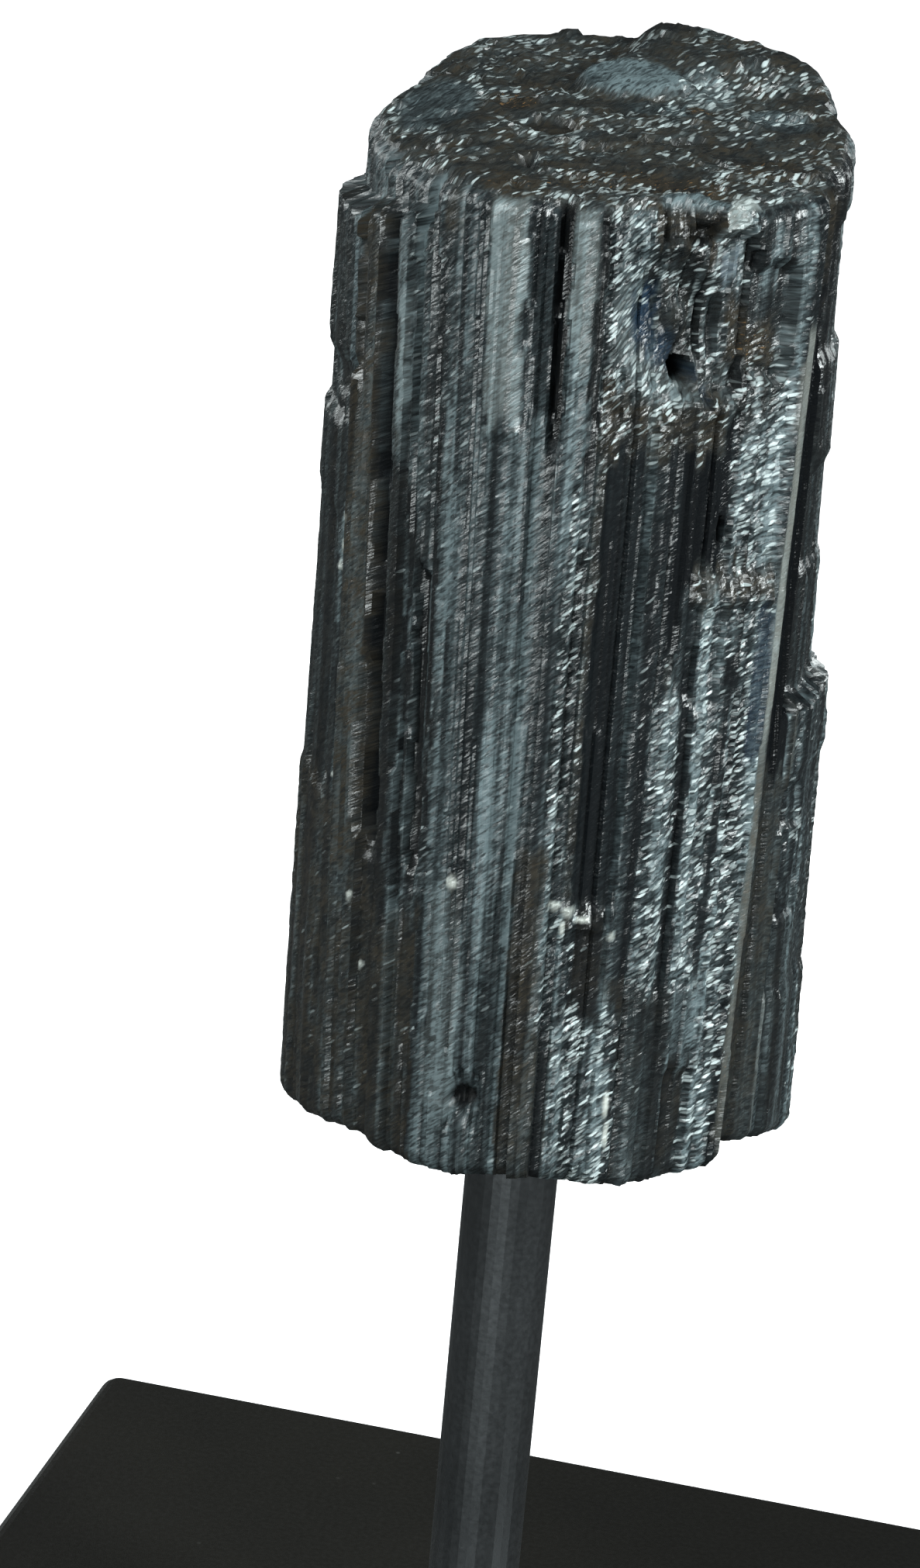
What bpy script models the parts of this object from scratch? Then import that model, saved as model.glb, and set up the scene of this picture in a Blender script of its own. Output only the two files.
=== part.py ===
"""A black tourmaline crystal held up on the rod of a square metal display stand.

Four pieces: a square plate, a round rod that stands on it, the screw that holds the two together from
below, and the crystal, which is drilled and glued over the rod's top end. The frame has its origin at the
middle of the plate's underside, +Z up, with X and Y along the plate's sides.
"""

import math
from collections import namedtuple

import bmesh
import bpy
import numpy as np
from mathutils import Vector
from mathutils.geometry import delaunay_2d_cdt

MM = 0.001
CLEARANCE = 0.3 * MM  # between pieces that touch

# The stand
PLATE_SIDE = 100 * MM
PLATE_THICKNESS = 6 * MM
PLATE_CORNER_RADIUS = 2 * MM
PLATE_EDGE_RADIUS = 1.5 * MM
PLATE_FOOT_CHAMFER = 0.4 * MM
ROD_DIAMETER = 8 * MM
ROD_TOP = 88 * MM
ROD_CHAMFER = 0.5 * MM
SCREW_DIAMETER = 4 * MM
SCREW_HEAD_DIAMETER = 8 * MM
SCREW_HEAD_RECESS = 0.5 * MM  # from the plate's underside to the head's flat face
SCREW_HEAD_RIM = 0.4 * MM
SCREW_TOP = 17 * MM
SCREW_SOCKET_WIDTH = 2.5 * MM  # across flats
SCREW_SOCKET_DEPTH = 1.4 * MM
ROUND_STEPS = 32

# The crystal's body, in mm and degrees. Angles turn round its axis from 0 at its front, growing to the right.
FRONT_TURN = 12.0  # how far the front is turned from -Y
BODY_RADIUS = 21.5  # at the foot
BODY_TAPER = 0.5 / 60  # radius lost for each mm of height
BODY_SIDE_SHIFT = 0.17  # the left side is this much fuller than the mean, the right side thinner
BODY_FOOT = 67.0
BODY_LEAN = 0.0157  # sideways shift to the left for each mm of height
BODY_OFFSET = 1.45  # of the foot's centre, to the right of the rod
RIM_ROUNDING = 0.5
FOOT_ROUNDING = 0.7
ROUGHNESS = 0.11
TERRACE_ROUGHNESS = 0.28

# The height of the crystal's lower edge at some angles
FOOT_EDGE = (
    (-180, 66.3),
    (-135, 67.2),
    (-90, 65.3),
    (-60, 67.0),
    (-48, 68.0),
    (-30, 67.0),
    (0, 67.8),
    (20, 67.2),
    (40, 68.0),
    (46, 69.4),
    (62, 68.5),
    (78, 66.8),
    (110, 66.4),
    (150, 68.2),
    (180, 66.3),
)

# The terminal face: its height over the rod's axis and its fall towards the front
TOP_HEIGHT = 150.0
TOP_SLOPE = 0.175
# The higher terrace at its right back: its rise, then the start, run and width of its left and front edges
TERRACE_RISE = 1.7
TERRACE_LEFT = (-4.7, 1 / 3, 2.5)
TERRACE_FRONT = (4.0, 0.3, 3.5)
# The low shoulder at its left: its drop, and the distances from the axis where it starts and ends
SHOULDER_DROP = 1.8
SHOULDER_SPAN = (11.0, 19.0)
UNDERSIDE_HOLLOW = 0.8  # how much higher the middle of the underside is than the foot's edge

# The points that the two end faces are folded on
TOP_GRID = 2.2
UNDERSIDE_GRID = 6.0
GRID_WANDER = 0.25  # share of the spacing
CAP_REACH = 0.93  # share of the rim's radius

# One lengthwise column of the front: the angle of its left edge, and how far its two edges stand out
Column = namedtuple("Column", "start left right")
FRONT_COLUMNS = (
    Column(-104.0, 0.1, -0.1),
    Column(-93.0, 0.3, 0.2),
    Column(-82.0, -0.1, 0.3),
    Column(-72.0, 0.3, 0.0),
    Column(-63.2, -0.1, -0.1),
    Column(-60.8, 0.4, 0.2),
    Column(-51.0, -0.2, -0.3),
    Column(-46.0, 0.0, 0.4),
    Column(-40.0, -0.3, -0.2),
    Column(-36.2, -0.3, -0.3),
    Column(-33.8, -0.1, 0.1),
    Column(-27.5, 0.2, 0.3),
    Column(-23.2, 0.5, 0.3),
    Column(-17.0, -0.2, -0.1),
    Column(-10.0, -0.3, -0.3),
    Column(-7.5, 0.4, 0.2),
    Column(-2.0, -0.2, -0.1),
    Column(0.6, 0.2, 0.1),
    Column(3.4, -0.3, -0.2),
    Column(12.0, 0.0, 0.1),
    Column(17.5, -0.2, 0.1),
    Column(22.0, -0.1, -0.3),
    Column(27.0, 0.1, -0.3),
    Column(33.0, -0.3, 0.2),
    Column(39.0, 0.1, 0.4),
    Column(44.5, 0.7, 0.5),
    Column(47.5, 0.1, -0.3),
    Column(54.0, 0.1, 0.2),
    Column(60.0, -0.1, 0.3),
    Column(69.0, 0.2, -0.1),
    Column(79.0, -0.2, 0.2),
    Column(90.0, 0.2, 0.0),
    Column(101.0, 0.0, 0.3),
)
BACK_START = 110.0
BACK_END = 256.0
BACK_COLUMNS = 15
BACK_WANDER = 0.3  # share of a column's width that its left edge is moved
BACK_STAND_OUT = 0.4
EDGE_HALF_WIDTH = 0.4  # degrees from the line between two columns to the corner of each

# A stretch of the surface that stands out (or back) between two angles and two heights, over a soft edge
Relief = namedtuple("Relief", "left right low high out")
RELIEFS = {
    "set-back above the left ledge": Relief(-122, -61.0, 142.8, 160, -2.1),
    "set-back of the upper left ribs": Relief(-60.9, -40.5, 143.8, 160, -1.3),
    "groove beside the ledge": Relief(-63.3, -60.7, 130, 160, -1.3),
    "broken foot of the ledge": Relief(-104, -63, 126, 130, -0.5),
    "deep groove of the left front": Relief(-51.1, -45.9, 94, 142.8, -1.3),
    "groove end": Relief(-51.1, -45.9, 94, 107, -0.6),
    "narrow groove": Relief(-36.3, -33.7, 93, 116, -0.8),
    "proud column under the lip": Relief(-23.3, -16.9, 129, 148, 0.3),
    "dark ribs under the lip": Relief(-17.1, -9.9, 130, 148, -0.5),
    "black groove under the lip": Relief(-10.1, -7.4, 128, 148, -0.9),
    "notch over the foot": Relief(-20, -14, 72.5, 75.5, -0.8),
    "left of the recess": Relief(0.5, 17.4, 131, 146, -1.4),
    "middle of the recess": Relief(18.1, 33.1, 132.5, 144.5, -1.6),
    "right of the recess": Relief(33.8, 44.0, 134, 142, -1.2),
    "hollow in the recess": Relief(3.3, 17.6, 134, 143, -1.0),
    "black column under the recess": Relief(3.3, 12.1, 91, 130, -0.4),
    "dark ribs under the recess": Relief(22, 33, 108, 130, -0.5),
    "set-back beside the ridge": Relief(27, 44.4, 118, 134, -0.5),
    "smooth facet": Relief(47.5, 54.1, 69, 138, -0.3),
    "layer missing on the right": Relief(57, 112, 106.5, 160, -2.0),
    "layer missing on the right back": Relief(112, 130, 106.5, 145, -1.7),
    "waist of the right edge": Relief(57, 120, 134, 144, -0.5),
    "lower waist of the right edge": Relief(57, 120, 117, 124, -0.4),
    "right flank": Relief(57, 120, 82, 100, -0.3),
    "left flank": Relief(-120, -66, 96, 118, -0.25),
    "upper left shoulder": Relief(-130, -52, 149, 160, -0.4),
    "layer missing behind": Relief(176, 214, 92, 124, -1.6),
    "back hollow": Relief(226, 248, 118, 160, -1.2),
    "back ledge": Relief(132, 168, 67, 88, 0.9),
}
RELIEF_EDGE = 0.7

# Heights of the side's rings of points, with a close pair at each ledge
SIDE_LOW = 71.5
SIDE_HIGH = 140.5
SIDE_LEVELS = 29
LEDGE_HEIGHTS = (106.5, 130.0, 142.8)
LEDGE_HALF_STEP = 0.6
RIM_SHARES = (0.3, 0.65, 0.92)  # of the way from the highest ledge to the rim
LEVEL_WANDER = 0.25

CRYSTAL_SEED = 11


def clear_scene() -> None:
    """Removes every object, so that the script gives the same model wherever it runs."""
    for item in list(bpy.data.objects):
        bpy.data.objects.remove(item, do_unlink=True)


def new_collection(name: str) -> bpy.types.Collection:
    """Makes a collection under the scene's own."""
    collection = bpy.data.collections.new(name)
    bpy.context.scene.collection.children.link(collection)
    return collection


def finish(name: str, colour: tuple, roughness: float, metallic: float) -> bpy.types.Material:
    """A Principled material of one colour."""
    material = bpy.data.materials.new(name)
    material.use_nodes = True
    shader = material.node_tree.nodes["Principled BSDF"]
    shader.inputs["Base Color"].default_value = (*colour, 1.0)
    shader.inputs["Roughness"].default_value = roughness
    shader.inputs["Metallic"].default_value = metallic
    return material


def add_object(name: str, mesh: bpy.types.Mesh, collection: bpy.types.Collection) -> bpy.types.Object:
    """Puts a mesh in the scene under its own name."""
    item = bpy.data.objects.new(name, mesh)
    collection.objects.link(item)
    return item


def turned(name: str, profile: list, collection: bpy.types.Collection) -> bpy.types.Object:
    """A turned piece: its half profile, from the axis at the top down the outside, swept round Z."""
    mesh = bpy.data.meshes.new(name)
    points = [(radius, 0.0, height) for radius, height in profile]
    mesh.from_pydata(points, [(k, k + 1) for k in range(len(points) - 1)], [])
    item = add_object(name, mesh, collection)
    sweep = item.modifiers.new("Turn", "SCREW")
    sweep.axis = "Z"
    sweep.steps = ROUND_STEPS
    sweep.render_steps = ROUND_STEPS
    sweep.use_merge_vertices = True
    sweep.merge_threshold = 0.00001
    return item


def as_cutter(item: bpy.types.Object) -> bpy.types.Object:
    """Marks an object as a cutter, which is not part of the model."""
    item.hide_render = True
    item.display_type = "WIRE"
    return item


def cut(item: bpy.types.Object, cutter: bpy.types.Object) -> None:
    """Takes the cutter's volume out of the item."""
    boolean = item.modifiers.new(f"Cut by {cutter.name}", "BOOLEAN")
    boolean.operation = "DIFFERENCE"
    boolean.solver = "EXACT"
    boolean.object = cutter


def prism(name: str, radius: float, low: float, high: float, sides: int, collection) -> bpy.types.Object:
    """An upright prism on the Z axis, from the low height to the high one."""
    mesh = bpy.data.meshes.new(name)
    shape = bmesh.new()
    bmesh.ops.create_cone(
        shape, cap_ends=True, segments=sides, radius1=radius, radius2=radius, depth=high - low
    )
    bmesh.ops.translate(shape, verts=shape.verts, vec=(0.0, 0.0, (low + high) / 2))
    shape.to_mesh(mesh)
    shape.free()
    return add_object(name, mesh, collection)


def screw_profile(grow: float, face: float, top: float) -> list:
    """The countersunk screw's half profile, or its hole's when it is grown by the clearance."""
    shank = SCREW_DIAMETER / 2 + grow
    head = SCREW_HEAD_DIAMETER / 2 + grow
    rim_top = SCREW_HEAD_RECESS + SCREW_HEAD_RIM
    cone_top = rim_top + head - shank
    return [(0.0, top), (shank, top), (shank, cone_top), (head, rim_top), (head, face), (0.0, face)]


def edges_where(shape: bmesh.types.BMesh, test) -> list:
    """The edges whose two ends both pass the test."""
    return [edge for edge in shape.edges if test(edge.verts[0].co, edge.verts[1].co)]


def build_plate(collection, cutters, material) -> bpy.types.Object:
    """The square plate: a slab with rounded corners, a rounded upper edge and a countersunk hole."""
    mesh = bpy.data.meshes.new("base_plate")
    shape = bmesh.new()
    bmesh.ops.create_cube(shape, size=1.0)
    bmesh.ops.scale(shape, verts=shape.verts, vec=(PLATE_SIDE, PLATE_SIDE, PLATE_THICKNESS))
    bmesh.ops.translate(shape, verts=shape.verts, vec=(0.0, 0.0, PLATE_THICKNESS / 2))
    half = PLATE_THICKNESS / 2
    upright = edges_where(shape, lambda a, b: abs(a.z - b.z) > half)
    bmesh.ops.bevel(shape, geom=upright, offset=PLATE_CORNER_RADIUS, segments=4, profile=0.5, affect="EDGES")
    upper = edges_where(shape, lambda a, b: min(a.z, b.z) > half)
    bmesh.ops.bevel(shape, geom=upper, offset=PLATE_EDGE_RADIUS, segments=4, profile=0.5, affect="EDGES")
    lower = edges_where(shape, lambda a, b: max(a.z, b.z) < MM * 0.01)
    bmesh.ops.bevel(shape, geom=lower, offset=PLATE_FOOT_CHAMFER, segments=1, profile=0.5, affect="EDGES")
    shape.to_mesh(mesh)
    shape.free()
    mesh.shade_smooth()
    mesh.set_sharp_from_angle(angle=math.radians(35))
    plate = add_object("base_plate", mesh, collection)
    hole = as_cutter(
        turned("plate_hole", screw_profile(CLEARANCE, -CLEARANCE, PLATE_THICKNESS + MM), cutters)
    )
    cut(plate, hole)
    plate.data.materials.append(material)
    return plate


def build_rod(collection, material) -> bpy.types.Object:
    """The round rod, with its ends chamfered and a blind hole for the screw up its lower end."""
    radius = ROD_DIAMETER / 2
    foot = PLATE_THICKNESS + CLEARANCE
    bore = SCREW_DIAMETER / 2 + CLEARANCE
    bore_top = SCREW_TOP + CLEARANCE
    profile = [
        (0.0, ROD_TOP),
        (radius - ROD_CHAMFER, ROD_TOP),
        (radius, ROD_TOP - ROD_CHAMFER),
        (radius, foot),
        (bore, foot),
        (bore, bore_top),
        (0.0, bore_top + bore / 2),
    ]
    rod = turned("rod", profile, collection)
    rod.data.materials.append(material)
    return rod


def build_screw(collection, cutters, material) -> bpy.types.Object:
    """The countersunk screw, with a six-sided socket in the face of its head."""
    screw = turned("screw", screw_profile(0.0, SCREW_HEAD_RECESS, SCREW_TOP), collection)
    socket_radius = SCREW_SOCKET_WIDTH / 2 / math.cos(math.pi / 6)
    socket_top = SCREW_HEAD_RECESS + SCREW_SOCKET_DEPTH
    cut(screw, as_cutter(prism("screw_socket", socket_radius, -MM, socket_top, 6, cutters)))
    screw.data.materials.append(material)
    return screw


def ramp(value: np.ndarray, start: float, end: float) -> np.ndarray:
    """0 before the start, 1 past the end, a straight rise between."""
    return np.clip((value - start) / (end - start), 0.0, 1.0)


def relief(angle: np.ndarray, height: np.ndarray) -> np.ndarray:
    """All the named reliefs added up: each is full inside its limits and falls away over the soft edge."""
    total = np.zeros(np.broadcast(angle, height).shape)
    for patch in RELIEFS.values():
        middle = (patch.left + patch.right) / 2
        away = np.abs((angle - middle + 180) % 360 - 180)
        across = ramp(patch.right - middle + RELIEF_EDGE - away, 0, RELIEF_EDGE)
        rise = ramp(height, patch.low - RELIEF_EDGE, patch.low)
        fall = ramp(patch.high + RELIEF_EDGE - height, 0, RELIEF_EDGE)
        total = total + patch.out * across * rise * fall
    return total


def body_radius(angle: np.ndarray, height: np.ndarray) -> np.ndarray:
    """The body without its columns: a slow taper, a little fuller on the left."""
    taper = BODY_RADIUS - BODY_TAPER * (height - BODY_FOOT)
    return taper - BODY_SIDE_SHIFT * np.sin(np.radians(angle)) + relief(angle, height)


def top_height(across: np.ndarray, back: np.ndarray) -> np.ndarray:
    """The terminal face: a slope to the front, a higher terrace at the right back and low left shoulders."""
    left_start, left_run, left_width = TERRACE_LEFT
    front_start, front_run, front_width = TERRACE_FRONT
    from_left = ramp(across - left_start - left_run * back, 0, left_width)
    from_front = ramp(back - front_start - front_run * np.clip(across, 0, None), 0, front_width)
    plane = TOP_HEIGHT + TOP_SLOPE * back
    return plane + TERRACE_RISE * from_left * from_front - SHOULDER_DROP * ramp(-across, *SHOULDER_SPAN)


def column_corners(rng: np.random.Generator) -> tuple:
    """The angles of the columns' corners right round the crystal, and how far each corner stands out."""
    edges = np.linspace(BACK_START, BACK_END, BACK_COLUMNS, endpoint=False)
    widths = (BACK_END - BACK_START) / BACK_COLUMNS
    edges[1:] += rng.uniform(-BACK_WANDER, BACK_WANDER, BACK_COLUMNS - 1) * widths
    back = [Column(edge, *rng.uniform(-BACK_STAND_OUT, BACK_STAND_OUT, 2)) for edge in edges]
    columns = list(FRONT_COLUMNS) + back
    starts = np.array([column.start for column in columns])
    ends = np.append(starts[1:], starts[0] + 360)
    angles = np.column_stack([starts + EDGE_HALF_WIDTH, ends - EDGE_HALF_WIDTH]).ravel()
    stand_out = np.array([(column.left, column.right) for column in columns]).ravel()
    return angles, stand_out


def side_heights(foot: np.ndarray, rim: np.ndarray, rng: np.random.Generator) -> list:
    """The side's heights, ring by ring: level in the middle, and running into the foot's edge and the rim."""
    levels = list(np.linspace(SIDE_LOW, SIDE_HIGH, SIDE_LEVELS))
    for ledge in LEDGE_HEIGHTS:
        levels = [level for level in levels if abs(level - ledge) > 2 * LEDGE_HALF_STEP]
        levels += [ledge - LEDGE_HALF_STEP, ledge + LEDGE_HALF_STEP]
    levels.sort()
    rings = [foot, foot + FOOT_ROUNDING]
    for level in levels:
        near_ledge = min(abs(level - ledge) for ledge in LEDGE_HEIGHTS) < 2 * LEDGE_HALF_STEP
        wander = 0.0 if near_ledge else LEVEL_WANDER
        rings.append(level + rng.uniform(-wander, wander, foot.size))
    rings += [levels[-1] + share * (rim - levels[-1]) for share in RIM_SHARES]
    rings.append(rim - RIM_ROUNDING)
    return rings


def ring_lookup(way: np.ndarray, reach: np.ndarray) -> tuple:
    """The ring's directions in rising order and its reach in each, repeated at both ends to close it."""
    order = np.argsort(way)
    way = way[order]
    reach = reach[order]
    closed_way = np.concatenate([way[-1:] - 2 * math.pi, way, way[:1] + 2 * math.pi])
    return closed_way, np.concatenate([reach[-1:], reach, reach[:1]])


def cap(ring: np.ndarray, spacing: float, rng: np.random.Generator) -> tuple:
    """Closes a ring of (across, back) points: a staggered grid of inner points, and the triangles."""
    limit = np.abs(ring).max()
    rows = np.arange(-limit, limit, spacing * math.sqrt(0.75))
    inner = []
    for number, row in enumerate(rows):
        places = np.arange(-limit, limit, spacing) + (number % 2) * spacing / 2
        inner.append(np.column_stack([places, np.full_like(places, row)]))
    inner = np.concatenate(inner)
    inner = inner + rng.uniform(-GRID_WANDER, GRID_WANDER, inner.shape) * spacing
    way = np.arctan2(inner[:, 1], inner[:, 0])
    ring_way = np.arctan2(ring[:, 1], ring[:, 0])
    reach = np.interp(way, *ring_lookup(ring_way, np.hypot(*ring.T)))
    inner = inner[np.hypot(*inner.T) < CAP_REACH * reach - GRID_WANDER * spacing]
    points = [Vector(point) for point in np.concatenate([ring, inner]).tolist()]
    loop = [(k, (k + 1) % len(ring)) for k in range(len(ring))]
    result = delaunay_2d_cdt(points, loop, [], 1, 1e-6)
    names = [sources[0] for sources in result[3]]
    return inner, [[names[corner] for corner in face] for face in result[2]]


def to_frame(points: np.ndarray) -> np.ndarray:
    """Points in metres from the crystal's (across, back, height) in mm; its axis leans left as it rises."""
    turn = math.radians(FRONT_TURN)
    across, back, height = points.T
    across = across + BODY_OFFSET - BODY_LEAN * (height - BODY_FOOT)
    x = across * math.cos(turn) - back * math.sin(turn)
    y = across * math.sin(turn) + back * math.cos(turn)
    return np.column_stack([x, y, height]) * MM


def side_rings(rng: np.random.Generator) -> list:
    """The side's rings of (across, back, height) points, from the foot's edge up to the rim."""
    angle, stand_out = column_corners(rng)
    across = np.sin(np.radians(angle))
    back = -np.cos(np.radians(angle))
    foot = np.interp((angle + 180) % 360 - 180, *np.array(FOOT_EDGE).T)
    rim_radius = body_radius(angle, np.full_like(angle, TOP_HEIGHT)) + stand_out
    rim = top_height(rim_radius * across, rim_radius * back)
    heights = side_heights(foot, rim, rng)
    radii = [body_radius(angle, height) + stand_out for height in heights]
    radii = [radius + rng.normal(0, ROUGHNESS, angle.size) for radius in radii]
    radii[0] = radii[0] - FOOT_ROUNDING
    radii[-1] = radii[-1] - RIM_ROUNDING
    return [
        np.column_stack([radius * across, radius * back, height])
        for radius, height in zip(radii, heights)
    ]


def crystal_mesh(rng: np.random.Generator) -> tuple:
    """The crystal's points and faces: rings up its side, closed above and below by two folded caps."""
    rings = side_rings(rng)
    count = len(rings[0])
    faces = []
    for start in range(0, (len(rings) - 1) * count, count):
        lower = [start + k for k in range(count)]
        lower.append(start)
        faces += [(a, b, b + count, a + count) for a, b in zip(lower, lower[1:])]
    top_points, top_faces = cap(rings[-1][:, :2], TOP_GRID, rng)
    top_level = top_height(*top_points.T) + rng.normal(0, TERRACE_ROUGHNESS, len(top_points))
    foot_points, foot_faces = cap(rings[0][:, :2], UNDERSIDE_GRID, rng)
    foot_level = np.full(len(foot_points), BODY_FOOT + UNDERSIDE_HOLLOW)
    rim_start = (len(rings) - 1) * count
    foot_start = (len(rings) - 1) * count + len(top_points)
    faces += [[k + rim_start for k in face] for face in top_faces]
    faces += [[k if k < count else k + foot_start for k in reversed(face)] for face in foot_faces]
    points = np.concatenate(
        [*rings, np.column_stack([top_points, top_level]), np.column_stack([foot_points, foot_level])]
    )
    return to_frame(points), faces


def build_crystal(collection, cutters, material) -> bpy.types.Object:
    """The crystal: one closed solid with a blind hole for the rod."""
    points, faces = crystal_mesh(np.random.default_rng(CRYSTAL_SEED))
    mesh = bpy.data.meshes.new("crystal")
    mesh.from_pydata(points.tolist(), [], faces)
    mesh.validate()
    crystal = add_object("crystal", mesh, collection)
    bore_radius = ROD_DIAMETER / 2 + CLEARANCE
    bore = prism("rod_hole", bore_radius, PLATE_SIDE / 2, ROD_TOP + CLEARANCE, ROUND_STEPS, cutters)
    cut(crystal, as_cutter(bore))
    crystal.data.materials.append(material)
    return crystal


def main() -> None:
    """Builds the four pieces."""
    clear_scene()
    model = new_collection("tourmaline_crystal")
    cutters = new_collection("cutters")
    coat = finish("black_powder_coat", (0.022, 0.024, 0.025), 0.45, 0.0)
    steel = finish("zinc_plated_steel", (0.55, 0.56, 0.58), 0.35, 1.0)
    stone = finish("black_tourmaline", (0.020, 0.023, 0.027), 0.25, 0.0)
    build_plate(model, cutters, coat)
    build_rod(model, coat)
    build_screw(model, cutters, steel)
    build_crystal(model, cutters, stone)


main()
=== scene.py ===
"""Dresses a black tourmaline crystal on a square display stand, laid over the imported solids.

The crystal is worked out in its own upright frame, in millimetres: an angle runs round it in degrees, 0 at
the front and growing to the right, a height is measured above the floor, and across and back are the two
ways over its top. MM turns millimetres into the frame's metres.
"""

import logging
import math
from dataclasses import dataclass, field
from enum import Enum

import bpy
import numpy as np
from mathutils import Matrix, Vector


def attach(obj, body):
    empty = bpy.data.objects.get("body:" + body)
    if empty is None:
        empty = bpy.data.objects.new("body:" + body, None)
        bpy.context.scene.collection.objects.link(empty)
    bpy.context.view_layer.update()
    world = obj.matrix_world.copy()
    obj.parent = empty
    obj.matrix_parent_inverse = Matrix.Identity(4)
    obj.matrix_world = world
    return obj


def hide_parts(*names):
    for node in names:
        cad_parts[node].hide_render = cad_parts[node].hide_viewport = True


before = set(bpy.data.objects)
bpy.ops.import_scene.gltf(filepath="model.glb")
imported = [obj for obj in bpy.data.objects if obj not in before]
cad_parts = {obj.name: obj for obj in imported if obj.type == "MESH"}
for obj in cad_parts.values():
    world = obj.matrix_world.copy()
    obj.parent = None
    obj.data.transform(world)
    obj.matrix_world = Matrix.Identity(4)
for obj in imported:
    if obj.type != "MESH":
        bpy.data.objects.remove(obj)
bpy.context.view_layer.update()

MM = 0.001
BODY_RADIUS = 21.5
MM_PER_DEGREE = 0.37
TOP_HEIGHT = 150.0
COLUMN_SPREAD = 0.16
LEFT_SLOPE = 0.75
SLOPE_EASING = 0.0115
EASING_END = 20.0
HASH_ACROSS = 73856093
HASH_ALONG = 19349663
TABLE_SIZE = 8192
LEVEL_SHARE = 0.6
TILT_SHARE = 0.8
RIB_PIECES = 64

Array = np.ndarray
Colour = tuple[float, float, float, float]
Triple = tuple[float, float, float]
Pair = tuple[float, float]
Span = tuple[float, float, float, float]
Piece = bpy.types.Object
Tree = bpy.types.NodeTree
Socket = bpy.types.NodeSocket

log = logging.getLogger("tourmaline")


def ramp(value: Array | float, start: float, end: float) -> Array:
    """Rises in a straight line from 0 at start to 1 at end.

    Args:
        value: where it is read.
        start: the value that gives 0.
        end: the value that gives 1.

    Returns:
        Numbers from 0 to 1.
    """
    return np.clip((value - start) / (end - start), 0.0, 1.0)


def follow(angle: Array, height: Array | float, to_height: float) -> Array:
    """Where the column through a point crosses another height.

    The columns draw together downwards: each turns by the spread, in degrees for each mm, times the angle's
    sine.

    Args:
        angle: degrees of the point.
        height: its height in mm.
        to_height: the other height in mm.

    Returns:
        The column's angles there.
    """
    return angle + COLUMN_SPREAD * (to_height - height) * np.sin(np.radians(angle))


def dash_rise(arc: Array) -> Array:
    """Height that a slanted dash gains from the front to a place on the unrolled wall.

    Its slope is the left slope up to the front, falls by twice the easing for each mm and stays from the
    easing's end on: slope times arc, less easing times e times (2 arc - e), where e is the arc held between 0
    and that end.

    Args:
        arc: mm along the wall.

    Returns:
        Heights in mm.
    """
    eased = np.clip(arc, 0.0, EASING_END)
    return LEFT_SLOPE * arc - SLOPE_EASING * eased * (2 * arc - eased)


def half_turn(angle: Array) -> Array:
    """Angles moved by whole turns to between -180 and 180 degrees."""
    return (angle + 180.0) % 360.0 - 180.0


@dataclass(frozen=True)
class Window:
    """A patch of the crystal's wall between two columns, with soft edges.

    Attributes:
        left: first angle in degrees, at the patch's middle height.
        right: last angle in degrees, there.
        low: lowest height in mm.
        high: highest height in mm.
    """

    left: float
    right: float
    low: float
    high: float

    def cover(self, angle: Array, height: Array, edge: float, fade: float) -> Array:
        """How far each point lies inside: the product of a ramp across and a ramp at either end.

        Args:
            angle: degrees.
            height: mm.
            edge: width of the ramps across, in degrees.
            fade: length of the ramps at the ends, in mm.

        Returns:
            1 inside, 0 outside.
        """
        middle, half_way = (self.left + self.right) / 2, (self.low + min(self.high, TOP_HEIGHT)) / 2
        away = np.abs(half_turn(follow(angle, height, half_way) - middle))
        across = ramp(self.right - middle + edge - away, 0.0, edge)
        return across * ramp(height, self.low - fade, self.low) * ramp(self.high + fade - height, 0.0, fade)


@dataclass(frozen=True)
class Relief(Window):
    """A patch of the wall that stands out, or in where out is below 0, in mm."""

    out: float


@dataclass(frozen=True)
class Dent:
    """An oval pit in the wall, or a knob where out is above 0.

    Attributes:
        angle: its middle in degrees.
        height: its middle in mm.
        half_angle: half its width in degrees.
        half_height: half its height in mm.
        out: how far it stands out in mm.
    """

    angle: float
    height: float
    half_angle: float
    half_height: float
    out: float

    def oval(self, angle: Array, height: Array) -> tuple[Array, Array]:
        """Places from the middle, across and along, in half widths and half heights."""
        return half_turn(angle - self.angle) / self.half_angle, (height - self.height) / self.half_height

    def cover(self, angle: Array, height: Array) -> Array:
        """1 over the flat middle, falling with the square of the oval distance to 0 at its edge."""
        across, along = self.oval(angle, height)
        return np.clip(1.4 * (1.0 - across**2 - along**2), 0.0, 1.0)

    def lower_left_wall(self, angle: Array, height: Array) -> Array:
        """Where the inner side of the oval lies to the left or below, near oval distance 0.9.

        Args:
            angle: degrees.
            height: mm.

        Returns:
            1 there, 0 elsewhere.
        """
        across, along = self.oval(angle, height)
        facing = ramp(-0.9 * across - 0.8 * along, 0.1, 0.6)
        return np.clip(1.6 - np.abs(np.hypot(across, along) - 0.9) / 0.2, 0.0, 1.0) * facing


@dataclass(frozen=True)
class Look:
    """What a patch of the surface looks like, each from 0 to 1.

    Attributes:
        film: blue-grey film of the weathered skin, and painted sheen of lit facets.
        brown: rust-brown stain.
        spark: share of small bright fracture faces, some with painted glints; it also roughens the shape.
        polish: smoothness of a flat growth face.
        pale: cream-white mineral, and a little painted highlight on bright lit facets.
        blue: deep blue sheen.
    """

    film: float
    brown: float
    spark: float = 0.0
    polish: float = 0.0
    pale: float = 0.0
    blue: float = 0.0


@dataclass(frozen=True)
class Zone(Window):
    """A patch of the wall with a look of its own."""

    look: Look


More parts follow.
